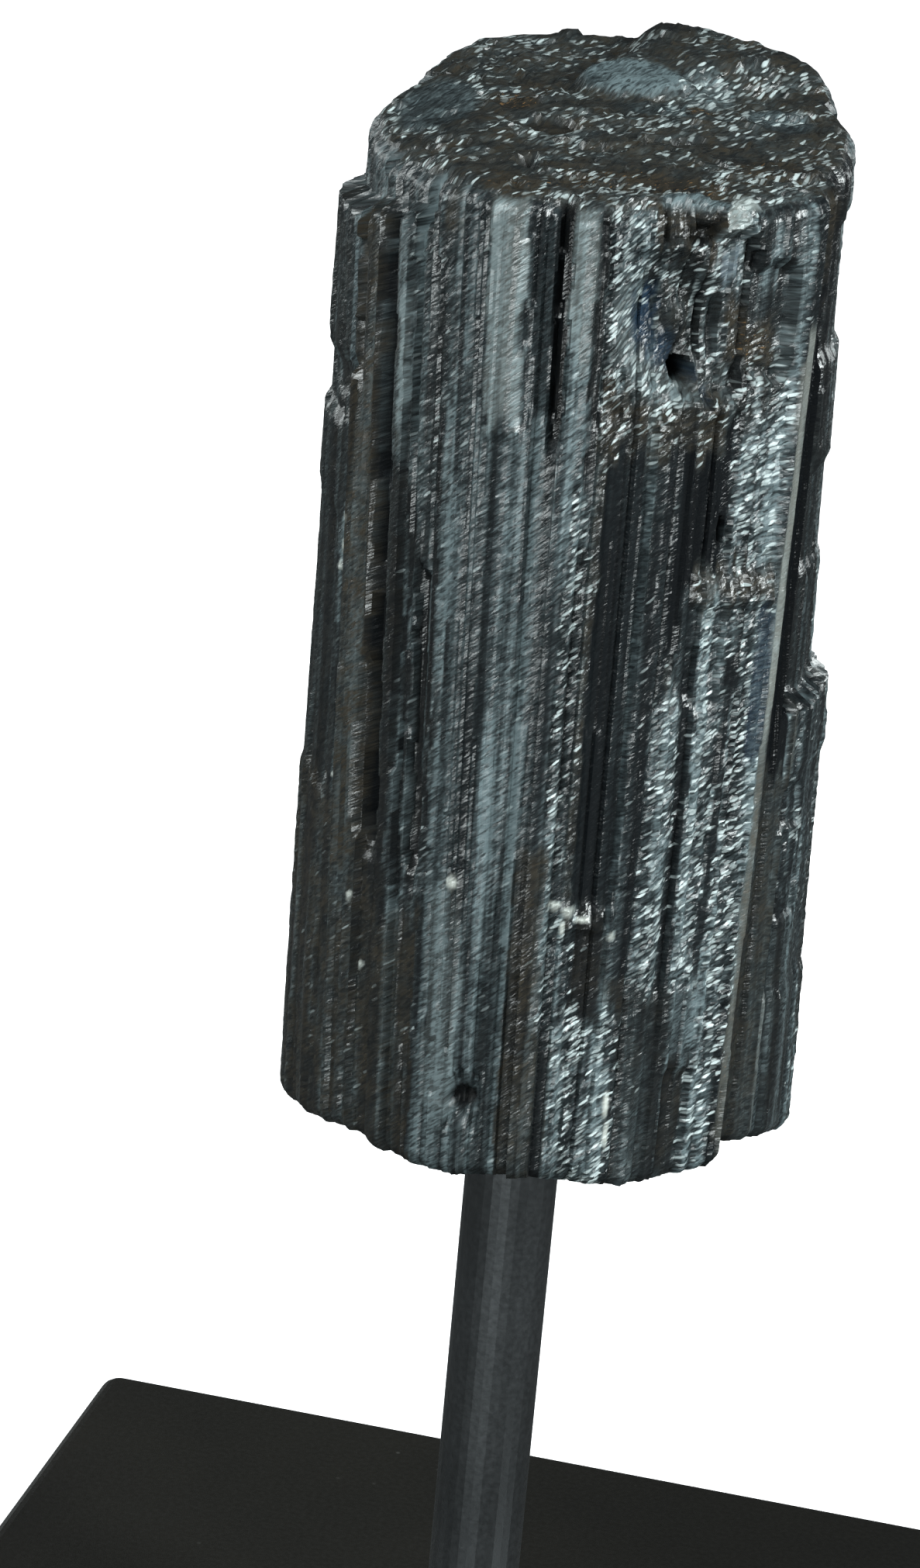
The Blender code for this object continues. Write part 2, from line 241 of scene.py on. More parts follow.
@dataclass(frozen=True)
class Spot:
    """A patch of the top with a look of its own: an oval in mm that may be lifted or tilted.

    Attributes:
        across: its middle, mm to the right.
        back: its middle, mm backwards.
        half_across: half its width in mm.
        half_back: half its depth in mm.
        lift: how far all of it stands up in mm.
        look: what it looks like.
        tilt: how far its back edge stands up and its front edge lies down, in mm. A tilted oval is a plane
            of its own, others follow the termination.
    """

    across: float
    back: float
    half_across: float
    half_back: float
    lift: float
    look: Look
    tilt: float = 0.0

    def cover(self, across: Array, back: Array) -> Array:
        """1 over most of the oval, falling to 0 at its edge."""
        sideways, backwards = (across - self.across) / self.half_across, (back - self.back) / self.half_back
        return np.clip(3.0 * (1.0 - sideways**2 - backwards**2), 0.0, 1.0)

    def rise(self, back: Array) -> Array:
        """The lift plus the tilt times the share of the way from the middle to the back edge."""
        return self.lift + self.tilt * (back - self.back) / self.half_back


@dataclass(frozen=True)
class BrokenFaces:
    """Jittered cells, each a small tilted flat, like the faces of a rough break.

    Attributes:
        length: length of a cell along the slant, in mm.
        width: its width, in mm.
        slant: degrees by which the cells climb to the right.
        seed: start of the random draws.
    """

    length: float
    width: float
    slant: float
    seed: int

    def sample(self, across: Array, along: Array) -> tuple[Array, Array]:
        """Height and tone of the cell whose jittered centre is nearest to each point.

        The height is the cell's own random level plus its random tilt times the distance from its centre.

        Args:
            across: mm to the right.
            along: mm upwards or backwards.

        Returns:
            The heights, about -1 to 1, and one random tone from 0 to 1 for each cell.
        """
        draws = np.random.default_rng(self.seed).random((6, TABLE_SIZE))
        cosine, sine = math.cos(math.radians(self.slant)), math.sin(math.radians(self.slant))
        place_u = (across * cosine + along * sine) / self.length
        place_v = (along * cosine - across * sine) / self.width
        first_u, first_v = np.floor(place_u).astype(np.int64), np.floor(place_v).astype(np.int64)
        nearest = np.full(place_u.shape, np.inf)
        chosen = np.zeros(place_u.shape, np.int64)
        offset_u, offset_v = np.zeros(place_u.shape), np.zeros(place_u.shape)
        for step_u in (-1, 0, 1):
            for step_v in (-1, 0, 1):
                cell_u, cell_v = first_u + step_u, first_v + step_v
                slot = (cell_u * HASH_ACROSS ^ cell_v * HASH_ALONG) & (TABLE_SIZE - 1)
                away_u, away_v = place_u - cell_u - draws[0][slot], place_v - cell_v - draws[1][slot]
                distance = away_u**2 + away_v**2
                nearer = distance < nearest
                nearest = np.where(nearer, distance, nearest)
                chosen = np.where(nearer, slot, chosen)
                offset_u, offset_v = np.where(nearer, away_u, offset_u), np.where(nearer, away_v, offset_v)
        level, tilt_u, tilt_v = 2 * draws[2][chosen] - 1, 2 * draws[3][chosen] - 1, 2 * draws[4][chosen] - 1
        tilted = tilt_u * offset_u + tilt_v * offset_v
        return LEVEL_SHARE * level + TILT_SHARE * tilted, draws[5][chosen]


WALL_COARSE = BrokenFaces(2.0, 0.9, 0.0, 21)
WALL_FINE = BrokenFaces(1.1, 0.5, 0.0, 22)
TOP_PLATES = BrokenFaces(5.0, 2.6, 12.0, 35)
TOP_COARSE = BrokenFaces(1.9, 1.3, 25.0, 32)
TOP_FINE = BrokenFaces(1.0, 0.8, 25.0, 33)
RIM_BITES = BrokenFaces(2.4, 1.3, 0.0, 41)
FILM_AND_SHEEN_PATCHES = BrokenFaces(9.0, 2.4, 84.0, 51)
EDGE_PATCHES = BrokenFaces(3.4, 0.7, 78.0, 52)
UNDER_FACES = BrokenFaces(3.0, 2.0, 20.0, 61)

# Columns of the front: start angle, and stand-out at the left and right edge in mm
FRONT_COLUMNS = (
    (-104.0, 0.1, -0.1), (-93.0, 0.3, 0.2), (-82.0, -0.1, 0.3), (-72.0, 0.3, 0.0), (-63.2, -0.1, -0.1),
    (-60.8, 0.4, 0.2), (-51.0, -0.2, -0.3), (-46.0, 0.0, 0.4), (-40.0, -0.3, -0.2), (-36.2, -0.3, -0.3),
    (-33.8, -0.1, 0.1), (-27.5, 0.2, 0.3), (-23.2, 0.5, 0.3), (-17.0, -0.2, -0.1), (-10.0, -0.3, -0.3),
    (-7.5, 0.4, 0.2), (-2.0, -0.2, -0.1), (0.6, 0.2, 0.1), (3.4, -0.3, -0.2), (12.0, 0.0, 0.1),
    (17.5, -0.2, 0.1), (22.0, -0.1, -0.3), (27.0, 0.1, -0.3), (33.0, -0.3, 0.2), (39.0, 0.1, 0.4),
    (44.5, 0.7, 0.5), (47.5, 0.1, -0.3), (54.0, 0.1, 0.2), (60.0, -0.1, 0.3), (69.0, 0.2, -0.1),
    (79.0, -0.2, 0.2), (90.0, 0.2, 0.0), (101.0, 0.0, 0.3),
)

# Lower edge of the crystal: angle and height
FOOT_EDGE = (
    (-180.0, 66.3), (-135.0, 67.2), (-90.0, 65.3), (-60.0, 67.0), (-48.0, 68.0), (-30.0, 67.0), (0.0, 67.8),
    (20.0, 67.2), (40.0, 68.0), (46.0, 69.4), (62.0, 68.5), (78.0, 66.8), (110.0, 66.4), (150.0, 68.2),
    (180.0, 66.3),
)

RELIEFS = {
    "set-back above the left ledge": Relief(-122, -61, 142.8, 160, -2.1),
    "set-back of the upper left ribs": Relief(-60.9, -40.5, 143.8, 160, -1.3),
    "groove beside the ledge": Relief(-63.3, -60.7, 130, 160, -1.3),
    "broken foot of the ledge": Relief(-104, -63, 126, 130, -0.5),
    "deep groove of the left front": Relief(-50.6, -46.9, 94, 142.8, -1.2),
    "groove end": Relief(-51.1, -45.9, 94, 107, -0.6),
    "narrow groove": Relief(-36.3, -33.7, 93, 116, -0.8),
    "proud column under the lip": Relief(-23.3, -16.9, 129, 148, 0.3),
    "dark ribs under the lip": Relief(-17.1, -9.9, 130, 148, -0.5),
    "black groove under the lip": Relief(-10.1, -7.4, 128, 148, -0.9),
    "notch over the foot": Relief(-20, -14, 72.5, 75.5, -0.8),
    "left of the recess": Relief(0.5, 17.4, 131, 146, -0.8),
    "middle of the recess": Relief(18.1, 33.1, 132.5, 144.5, -1.6),
    "right of the recess": Relief(33.8, 44, 134, 142, -1.2),
    "hollow in the recess": Relief(3.3, 17.6, 134, 143, -0.6),
    "black column under the recess": Relief(3.3, 12.1, 91, 130, -0.4),
    "dark ribs under the recess": Relief(22, 33, 108, 130, -0.5),
    "set-back beside the ridge": Relief(27, 44.4, 118, 134, -0.5),
    "smooth facet": Relief(47.5, 57, 69, 138, -0.3),
    "layer missing on the right": Relief(57, 112, 106.5, 160, -1.6),
    "layer missing on the right back": Relief(112, 130, 106.5, 145, -1.7),
    "waist of the right edge": Relief(57, 120, 134, 144, -0.5),
    "lower waist of the right edge": Relief(57, 120, 117, 124, -0.4),
    "right flank": Relief(57, 120, 82, 100, -0.3),
    "left flank": Relief(-120, -66, 96, 118, -0.25),
    "upper left shoulder": Relief(-130, -52, 149, 160, -0.4),
    "layer missing behind": Relief(176, 214, 92, 124, -1.6),
    "back hollow": Relief(226, 248, 118, 160, -1.2),
    "back ledge": Relief(132, 168, 67, 88, 0.9),
}

FINE_RELIEFS = {
    "first slot of the recess": Relief(22.2, 23.6, 135.4, 139.6, -0.45),
    "second slot of the recess": Relief(25.8, 27.2, 135, 139.4, -0.5),
    "rib between the slots": Relief(23.9, 25.5, 135, 140, 0.15),
    "dark end of the left groove": Relief(-48.5, -45, 92, 95, -0.3),
    "groove beside the bright facet": Relief(-42.2, -40.2, 100, 140, -0.5),
    "shadow line by the recess": Relief(-1.6, 0, 130, 145, -0.5),
    "brown hollow under the rim": Relief(12, 25, 144.2, 146.6, -0.9),
    "ledge across the right": Relief(25, 44, 116, 118, 0.45),
    "groove of the lower right": Relief(24, 26, 84, 112, -0.25),
    "dark column over the foot": Relief(27, 33, 68, 77, -0.4),
    "step of the grey patches": Relief(26, 35, 77, 84, 0.2),
    "facet under the notch": Relief(-18.5, -14, 67, 72.3, 0.25),
    "end of the black column": Relief(2, 12, 89.5, 91, 0.35),
    "first bite of the right layer": Relief(57, 66, 96, 99, -0.5),
    "second bite of the right layer": Relief(58, 70, 88, 91, -0.35),
}

DENTS = {
    "hole of the recess": Dent(19.4, 133.9, 3.2, 0.95, -3.8),
    "hole by the right glint": Dent(34.3, 142.7, 1.1, 1.0, -1.3),
    "deep of the bluish hollow": Dent(11.0, 138.4, 4.0, 2.8, -0.55),
    "knob in the bluish hollow": Dent(18.2, 137.6, 3.0, 1.8, 0.9),
    "hole under the glint": Dent(31.0, 121.6, 1.0, 1.3, -1.0),
    "pit of the notch": Dent(-17.5, 74.0, 3.4, 1.1, -0.8),
    "bite in the right edge": Dent(63.0, 125.0, 5.0, 1.6, -0.6),
    "bite in the left edge": Dent(-73.0, 128.6, 7.0, 1.6, -0.3),
}

SMOOTH = Window(46.5, 57.5, 66.0, 139.0)
BOWL = Dent(15.5, 137.8, 12.5, 5.6, -1.9)
# Painted light on the lower-left inner wall of the bowl: sheen, glints and a little pale.
BOWL_WALL_PAINTED_LIGHT = Look(0.55, 0.0, 1.0, 0.0, 0.03)
# Painted shade inside deep holes: black with a trace of brown, no sheen or glints.
HOLE_PAINTED_SHADE = Look(0.0, 0.1)

CHIPS = (
    Dent(-22.8, 92.0, 1.6, 0.65, 0.12), Dent(13.9, 74.6, 0.8, 1.3, 0.15), Dent(14.4, 72.0, 0.7, 1.3, 0.15),
    Dent(12.0, 89.0, 0.8, 0.4, 0.1), Dent(-50.0, 88.0, 0.9, 0.35, 0.1), Dent(-46.0, 82.5, 0.9, 0.35, 0.1),
    Dent(-62.3, 118.2, 1.8, 0.7, 0.15), Dent(-63.0, 115.8, 1.3, 0.5, 0.1), Dent(-64.0, 114.0, 1.2, 0.4, 0.1),
    Dent(-60.0, 97.0, 1.2, 0.4, 0.1), Dent(-0.6, 91.3, 1.7, 0.33, 0.1), Dent(2.2, 90.9, 1.9, 0.3, 0.1),
    Dent(5.6, 90.4, 1.9, 0.3, 0.1), Dent(1.3, 89.6, 0.5, 0.8, 0.1),
)
CHIP_LOOK = Look(0.9, 0.0, 0.6, 0.0, 0.75)
TOP_LOOK = Look(0.22, 0.7, 0.65)
UNDER_LOOK = Look(0.10, 0.35, 0.45)
BORE_LOOK = Look(0.25, 0.10, 0.05)

# A zone's film value paints the blue-grey film together with the painted sheen of lit facets.
ZONES = {
    "ledge column": Zone(-104, -63.4, 67, 142.8, Look(0.12, 0.2, 0.12, 0.5)),
    "lit face of the ledge": Zone(-67.5, -63.6, 128, 141, Look(0.24, 0.0, 0.15, 0.6)),
    "brown flank over the foot": Zone(-95, -30, 67, 96, Look(0.11, 0.55, 0.25, 0.15)),
    "upper left ribs": Zone(-125, -40, 142.8, 152, Look(0.27, 0.1, 0.27, 0.1)),
    "brown column": Zone(-61, -51, 90, 142.6, Look(0.14, 0.8, 0.05, 0.5)),
    "deep groove": Zone(-50.6, -46.9, 94, 141, Look(0.0, 0.04, 0.02, 0.3)),
    # Painted reflection of a lit narrow facet.
    "narrow bright facet": Zone(-45.8, -42.8, 129, 137.5, Look(1.0, 0.0, 0.3, 0.4, 0.06)),
    "mottled left front": Zone(-42, -30, 89, 142, Look(0.18, 0.12, 0.36, 0.1)),
    "dark of the left front": Zone(-46.5, -41.5, 88, 125, Look(0.04, 0.2, 0.25, 0.1)),
    "dark line of the left front": Zone(-39.4, -38, 90, 122, Look(0.01, 0.1, 0.1, 0.2)),
    "second line of the left front": Zone(-32.6, -31.6, 96, 128, Look(0.01, 0.1, 0.1, 0.2)),
    "line in the mottled front": Zone(-36.3, -33.7, 92, 117, Look(0.01, 0.1, 0.05, 0.2)),
    "striated grey front": Zone(-30, -2, 90, 148, Look(0.42, 0.02, 0.3, 0.1)),
    "grey front over the foot": Zone(-30, -10, 67, 91, Look(0.55, 0.05, 0.3, 0.1)),
    # The bright column, band and bluish columns paint reflections of lit facets into the colour.
    "bright column under the lip": Zone(-24.2, -17.2, 130, 147.5, Look(1.0, 0.0, 0.12, 0.6, 0.08)),
    "bright band": Zone(-19.4, -17, 97, 130, Look(0.55, 0.0, 0.25, 0.2)),
    "bluish columns over the foot": Zone(-27, -19.5, 74, 91, Look(1.0, 0.0, 0.25, 0.3, 0.03)),
    "dark ribs": Zone(-16.6, -10, 130, 147, Look(0.11, 0.0, 0.1, 0.6)),
    "black groove": Zone(-9.9, -7.5, 128, 147, Look(0.0, 0.1, 0.0, 0.3)),
    # Painted reflection of the lit bluish facet and its line.
    "bright bluish facet": Zone(-7.6, -2.8, 134.5, 146.2, Look(1.0, 0.0, 0.25, 0.5, 0.07)),
    "line of the bluish facet": Zone(-7.3, -5.2, 116, 136, Look(0.6, 0.0, 0.35, 0.2)),
    "shadow line": Zone(-1.6, 0.1, 128, 145, Look(0.02, 0.1, 0.1, 0.2)),
    "glint strip": Zone(-3.4, 0, 83, 125, Look(0.34, 0.05, 0.75)),
    "brown columns over the foot": Zone(-9.5, -3, 67, 96, Look(0.2, 0.6, 0.2, 0.3)),
    "black column": Zone(3, 12, 91, 130, Look(0.05, 0.0, 0.1, 0.5)),
    "mottled under the recess": Zone(12, 19.5, 86, 130, Look(0.08, 0.0, 0.28, 0.2)),
    "black ribs": Zone(19.5, 33, 112, 131, Look(0.0, 0.0, 0.0, 0.9)),
    "dark under the ledge": Zone(22, 30, 98, 116, Look(0.08, 0.0, 0.25, 0.3)),
    "sparkle strip": Zone(33, 44.6, 119, 134, Look(0.7, 0.0, 1.0)),
    "ledge": Zone(24.5, 44, 115.6, 118.2, Look(0.16, 0.75, 0.6)),
    "middle sparkle strip": Zone(28, 40, 103, 115.6, Look(0.75, 0.0, 1.0)),
    "dark between strip and ridge": Zone(41, 45, 104, 115.6, Look(0.08, 0.0, 0.3, 0.2, blue=0.25)),
    "lower sparkle strip": Zone(26.8, 43.6, 83, 102.5, Look(0.55, 0.0, 1.0)),
    "streak in the sparkle": Zone(33.2, 35, 86, 112, Look(0.04, 0.0, 0.3, 0.1)),
    "second sparkle strip": Zone(17, 23.4, 84, 107, Look(0.36, 0.0, 0.85)),
    "dark groove": Zone(24, 26, 84, 112, Look(0.08, 0.0, 0.35, 0.1)),
    "grey patches": Zone(26, 36, 77.5, 83.5, Look(0.55, 0.0, 0.1, 0.6)),
    "dark column over the foot": Zone(27, 33, 68, 77, Look(0.06, 0.3, 0.1, 0.5)),
    "grey sparkle over the foot": Zone(33, 44.4, 68, 82, Look(0.32, 0.0, 0.8)),
    "sparkle under the black column": Zone(-1.5, 4.5, 80, 90, Look(0.4, 0.0, 0.9)),
    "black under the black column": Zone(4.5, 11, 82, 90, Look(0.03, 0.2, 0.25, 0.2)),
    "sparkle over the foot": Zone(1, 15.5, 67, 81.5, Look(0.5, 0.0, 0.95)),
    "dark ribs over the foot": Zone(16.5, 27, 67, 84, Look(0.14, 0.15, 0.25, 0.4)),
    "recess": Zone(0.6, 45, 130.5, 146, Look(0.18, 0.2, 0.78)),
    "left wall of the recess": Zone(0.6, 9, 131.5, 145.8, Look(0.38, 0.0, 1.0)),
    "blue hollow": Zone(6.6, 13, 135.8, 138.8, Look(0.08, 0.0, 0.5, 0.0, blue=0.6)),
    "blue over the hole": Zone(11.5, 16.5, 134.2, 136, Look(0.25, 0.0, 0.7, 0.0, blue=0.4)),
    "blue under the hole": Zone(13.5, 25, 131.8, 132.8, Look(0.25, 0.0, 0.7, 0.0, blue=0.5)),
    "grey knob in the hollow": Zone(14.5, 21, 136.2, 138.8, Look(0.2, 0.45, 0.4, 0.1)),
    "slots": Zone(22.2, 23.6, 135.4, 139.6, Look(0.05, 0.1, 0.4, 0.1)),
    "second slot": Zone(25.8, 27.2, 135, 139.4, Look(0.05, 0.1, 0.4, 0.1)),
    "stain of the recess": Zone(29.5, 42, 135.2, 139, Look(0.05, 0.95, 0.5)),
    "dark of the upper right": Zone(35, 46, 138.5, 149, Look(0.08, 0.1, 0.12, 0.3)),
    "lit ledge under the recess": Zone(1, 30, 128.4, 132.2, Look(0.12, 0.75, 0.7)),
    "striated lip": Zone(13, 24, 147, 150, Look(0.6, 0.0, 0.1, 0.3)),
    "white lip": Zone(26, 30.4, 145.8, 149.6, Look(1.0, 0.0, 0.9, 0.0, 0.2)),
    # Brown stain with painted shade under the overhang of the rim.
    "brown hollow": Zone(11, 25, 143.8, 146.6, Look(0.03, 0.85, 0.2)),
    "rough right edge": Zone(57, 80, 67, 107, Look(0.22, 0.0, 0.4, 0.1)),
    "grey facet of the right": Zone(57, 73, 66, 86, Look(0.26, 0.15, 0.06, 0.7)),
    "grey patch of the upper right": Zone(37.5, 41, 141, 144.4, Look(0.45, 0.0, 0.1, 0.4)),
    "blue patch of the recess": Zone(28, 30.6, 141.6, 142.8, Look(1.0, 0.0, 0.3, 0.1, 0.05, 0.4)),
    "dark right edge": Zone(56, 80, 107, 150, Look(0.08, 0.1, 0.08, 0.3)),
    "smooth black facet": Zone(48.2, 58.5, 101, 139, Look(0.0, 0.0, 0.0, 1.0)),
    "smooth dark facet": Zone(44.3, 56.8, 66, 100, Look(0.13, 0.5, 0.0, 0.9)),
    "lower ridge line": Zone(42.7, 43.9, 70, 103, Look(0.3, 0.9, 0.0, 0.7, 0.09)),
    "ridge line": Zone(46, 48, 104, 137, Look(0.3, 0.6, 0.0, 0.7, 0.21)),
    "edge line of the facet": Zone(56.8, 57.6, 68, 112, Look(0.4, 0.5, 0.0, 0.5, 0.08)),
}

SPOTS = {
    # The bluish facet's film paints the reflection of a lit facet; the glint spots take painted glints.
    "bluish facet of the top": Spot(1.2, 6.5, 4.7, 2.5, 0.1, Look(0.85, 0.0, 0.2, 0.6), 1.0),
    "glints of the top": Spot(7.4, 6.2, 2.4, 3.0, 0.1, Look(0.4, 0.0, 1.0, 0.0, 0.02)),
    "glints before the facet": Spot(4.6, 2.4, 4.0, 1.6, 0.0, Look(0.4, 0.2, 1.0)),
    "glints of the right": Spot(13.0, 2.0, 3.2, 2.6, 0.0, Look(0.35, 0.1, 0.95)),
    "bluish left shoulder": Spot(-14.0, 1.0, 3.6, 6.5, 0.0, Look(0.32, 0.1, 0.4, 0.1)),
    "stain of the top": Spot(-8.0, 1.0, 2.2, 2.0, 0.0, Look(0.05, 1.0, 0.6)),
    "small stain of the top": Spot(7.0, 2.5, 1.6, 1.4, 0.0, Look(0.05, 1.0, 0.6)),
    "pit of the top": Spot(-6.5, -11.8, 1.0, 1.5, -0.9, Look(0.0, 0.3, 0.1)),
    "hollow of the top": Spot(-5.0, -3.5, 2.6, 1.8, -0.5, Look(0.02, 0.7, 0.2)),
    "brown middle front of the top": Spot(3.0, -14.5, 7.5, 2.3, -0.15, Look(0.1, 0.95, 0.6)),
    "brown left front of the top": Spot(-6.0, -16.5, 5.0, 2.0, 0.0, Look(0.14, 0.9, 0.6)),
    "brown right of the top": Spot(12.0, -9.5, 4.5, 2.2, 0.0, Look(0.08, 0.9, 0.6)),
    "striated lip of the top": Spot(6.3, -17.6, 3.0, 1.4, 0.1, Look(0.6, 0.0, 0.2, 0.3)),
    "white lip of the top": Spot(10.1, -17.2, 1.2, 1.6, 0.3, Look(1.0, 0.0, 0.9, 0.0, 0.25)),
    "spike at the back": Spot(-4.0, 19.6, 1.3, 1.6, 0.7, Look(0.08, 0.4, 0.4)),
    "hump at the back": Spot(4.0, 18.0, 4.5, 3.0, 0.3, Look(0.12, 0.4, 0.6)),
}


class Attribute(Enum):
    """Names of the values that the crystal's mesh carries for its finish."""

    FILM = "film"
    BROWN = "brown"
    SPARK = "spark"
    POLISH = "polish"
    PALE = "pale"
    BLUE = "blue"
    TOP = "top"
    PLACE = "place"


LOOK_ATTRIBUTES = (
    Attribute.FILM, Attribute.BROWN, Attribute.SPARK, Attribute.POLISH, Attribute.PALE, Attribute.BLUE,
)


@dataclass
class Skin:
    """Looks of a set of points, as arrays that zones are painted into."""

    film: Array
    brown: Array
    spark: Array
    polish: Array
    pale: Array
    blue: Array

    @classmethod
    def plain(cls, shape: tuple[int, ...], look: Look) -> "Skin":
        """The same look at every point."""
        return cls(*(np.full(shape, getattr(look, name.value)) for name in LOOK_ATTRIBUTES))

    def paint(self, cover: Array, look: Look) -> None:
        """Moves each value towards the look by the cover.

        Args:
            cover: 0 to 1 at each point.
            look: the look wanted at cover 1.
        """
        for name in LOOK_ATTRIBUTES:
            old = getattr(self, name.value)
            setattr(self, name.value, old + (getattr(look, name.value) - old) * cover)

    def kept(self, mask: Array) -> "Skin":
        """The looks of the points that a mask keeps."""
        return Skin(*(getattr(self, name.value)[mask] for name in LOOK_ATTRIBUTES))


@dataclass
class Crystal:
    """The terminated prism: its wall, broken top, underside and the bore that sits on the rod.

    The fields repeat the solid's driving dimensions, in mm and degrees, and add the counts of the fine mesh.
    """

    front_turn: float = 12.0
    body_radius: float = BODY_RADIUS
    body_taper: float = 0.5 / 60
    side_shift: float = 0.17
    body_foot: float = 67.0
    body_lean: float = 0.0157
    body_offset: float = 1.45
    rim_rounding: float = 0.5
    rim_bite: float = 0.35
    foot_rounding: float = 0.7
    rounded_rim: float = 0.9
    rounded_foot: float = 1.2
    top_height: float = TOP_HEIGHT
    top_slope: float = 0.175
    terrace_rise: float = 1.7
    terrace_left: float = 4.7
    terrace_front: float = 4.0
    terrace_edges: Pair = (2.5, 3.5)
    shoulder_drop: float = 1.8
    shoulder: Pair = (11.0, 19.0)
    top_depths: Triple = (0.3, 0.26, 0.14)
    bore_radius: float = 4.3
    bore_end: float = 88.3
    mouth_rise: float = 0.6
    under_hollow: float = 0.8
    under_depth: float = 0.35
    back_start: float = 110.0
    back_end: float = 256.0
    back_columns: int = 15
    back_wander: float = 0.3
    back_stand_out: float = 0.4
    rib_widths: Pair = (1.1, 2.1)
    rib_wander: float = 0.3
    rib_stand_out: float = 0.1
    rib_rounding: float = 0.09
    rib_lengths: Pair = (5.0, 24.0)
    rib_shift: float = 30.0
    column_film_and_sheen: Pair = (0.05, 0.38)
    column_brown: Pair = (0.0, 0.4)
    column_spark: Pair = (0.08, 0.6)
    column_polish: Pair = (0.0, 0.6)
    piece_uneven: float = 1.5
    rib_uneven: float = 2.0
    patch_uneven: float = 0.8
    darkening: float = 0.1
    edge_wobble: float = 1.6
    right_calm: float = 1.2
    zone_edge: float = 0.5
    zone_fade: float = 1.2
    zone_ragged: float = 2.6
    relief_edge: float = 0.6
    relief_fade: float = 0.9
    relief_ragged: float = 1.2
    fine_edge: float = 0.4
    fine_fade: float = 0.5
    hole_depth: float = 0.7
    broken_least: float = 0.01
    broken_coarse: float = 0.13
    broken_fine: float = 0.08
    seed: int = 11
    cap_cells: int = 90
    cap_edge: float = 0.93
    wall_rows: int = 228
    lower_rows: int = 13
    upper_rows: int = 28
    under_rings: int = 8
    bore_rings: int = 2
    low_band: float = 71.5
    high_band: float = 140.5
    front_crowding: float = 0.45
    column_height: float = 115.0
    sharp_angle: float = 24.0
    columns: Array = field(init=False)
    ribs: Array = field(init=False)

    def __post_init__(self) -> None:
        """Works out the columns of the whole wall and the ribs on them."""
        rng = np.random.default_rng(self.seed)
        edges = np.linspace(self.back_start, self.back_end, self.back_columns, endpoint=False)
        width = (self.back_end - self.back_start) / self.back_columns
        wander = rng.uniform(-self.back_wander, self.back_wander, self.back_columns - 1)
        edges[1:] += wander * width
        outs = rng.uniform(-self.back_stand_out, self.back_stand_out, (self.back_columns, 2))
        self.columns = np.vstack([FRONT_COLUMNS, np.column_stack([edges, outs])])
        self.ribs = self.make_ribs()

    def make_ribs(self) -> Array:
        """Splits each column into ribs of about 1.5 degrees.

        Returns:
            One row for each rib: start angle, stand-out, tilt, length of its broken pieces and their shift.
        """
        rng = np.random.default_rng(self.seed + 1)
        ends = np.append(self.columns[1:, 0], self.columns[0, 0] + 360.0)
        starts = []
        for start, end in zip(self.columns[:, 0], ends):
            count = max(1, round((end - start) / rng.uniform(*self.rib_widths)))
            inner = np.linspace(start, end, count, endpoint=False)
            inner[1:] += rng.uniform(-self.rib_wander, self.rib_wander, count - 1) * (end - start) / count
            starts.extend(inner)
        out, count = self.rib_stand_out, len(starts)
        return np.column_stack([
            starts, rng.uniform(-out, out, count), rng.uniform(-out, out, count),
            rng.uniform(*self.rib_lengths, count), rng.uniform(0.0, self.rib_shift, count),
        ])

    def unwrapped(self, angle: Array) -> Array:
        """Angles moved by whole turns so that they start at the first column."""
        first = self.columns[0, 0]
        return (angle - first) % 360.0 + first

    def locate(self, starts: Array, angle: Array) -> tuple[Array, Array]:
        """Finds the column or rib that each angle lies in.

        Args:
            starts: first angle of each, rising from the first column's.
            angle: degrees.

        Returns:
            Their numbers, and the share of each that lies left of the angle.
        """
        place = self.unwrapped(angle)
        index = np.searchsorted(starts, place, side="right") - 1
        ends = np.append(starts[1:], starts[0] + 360.0)
        return index, (place - starts[index]) / (ends[index] - starts[index])

    def columns_out(self, angle: Array) -> Array:
        """Stand-out of the columns: a straight line from each column's left edge to its right edge."""
        index, share = self.locate(self.columns[:, 0], angle)
        return self.columns[index, 1] * (1 - share) + self.columns[index, 2] * share

    def ribs_out(self, angle: Array, height: Array) -> tuple[Array, Array, Array]:
        """Stand-out and tone of the ribs, which are broken into pieces along their length.

        A rib's piece is the whole part of height over its piece length. Each piece stands out by the rib's
        own amount plus a random step, less a rounding that grows with the fourth power of the distance from
        the rib's middle.

        Args:
            angle: degrees.
            height: mm.

        Returns:
            The stand-out in mm, a random tone of the piece from 0 to 1, and one of the whole rib.
        """
        rng = np.random.default_rng(self.seed + 2)
        shape = (len(self.ribs), RIB_PIECES)
        steps, tones = rng.uniform(-self.rib_stand_out, self.rib_stand_out, shape), rng.random(shape)
        whole = rng.random(len(self.ribs))
        index, share = self.locate(self.ribs[:, 0], angle)
        sideways = share * 2 - 1
        _, stand_out, tilt, length, shift = np.moveaxis(self.ribs[index], -1, 0)
        piece = np.floor((height + shift) / length).astype(int) % RIB_PIECES
        out = stand_out + tilt * sideways + steps[index, piece] - self.rib_rounding * sideways**4
        return out, tones[index, piece], whole[index]

    def edge_wander(self, angle: Array, height: Array) -> Array:
        """How far upright edges wander: a random shift for each small patch, less at the right.

        Args:
            angle: degrees.
            height: mm.

        Returns:
            Degrees to add.
        """
        _, tone = EDGE_PATCHES.sample(angle * MM_PER_DEGREE, height)
        right = ramp(angle, 20.0, 44.0) * ramp(-angle, -130.0, -100.0)
        return (tone - 0.5) * (self.edge_wobble - self.right_calm * right)

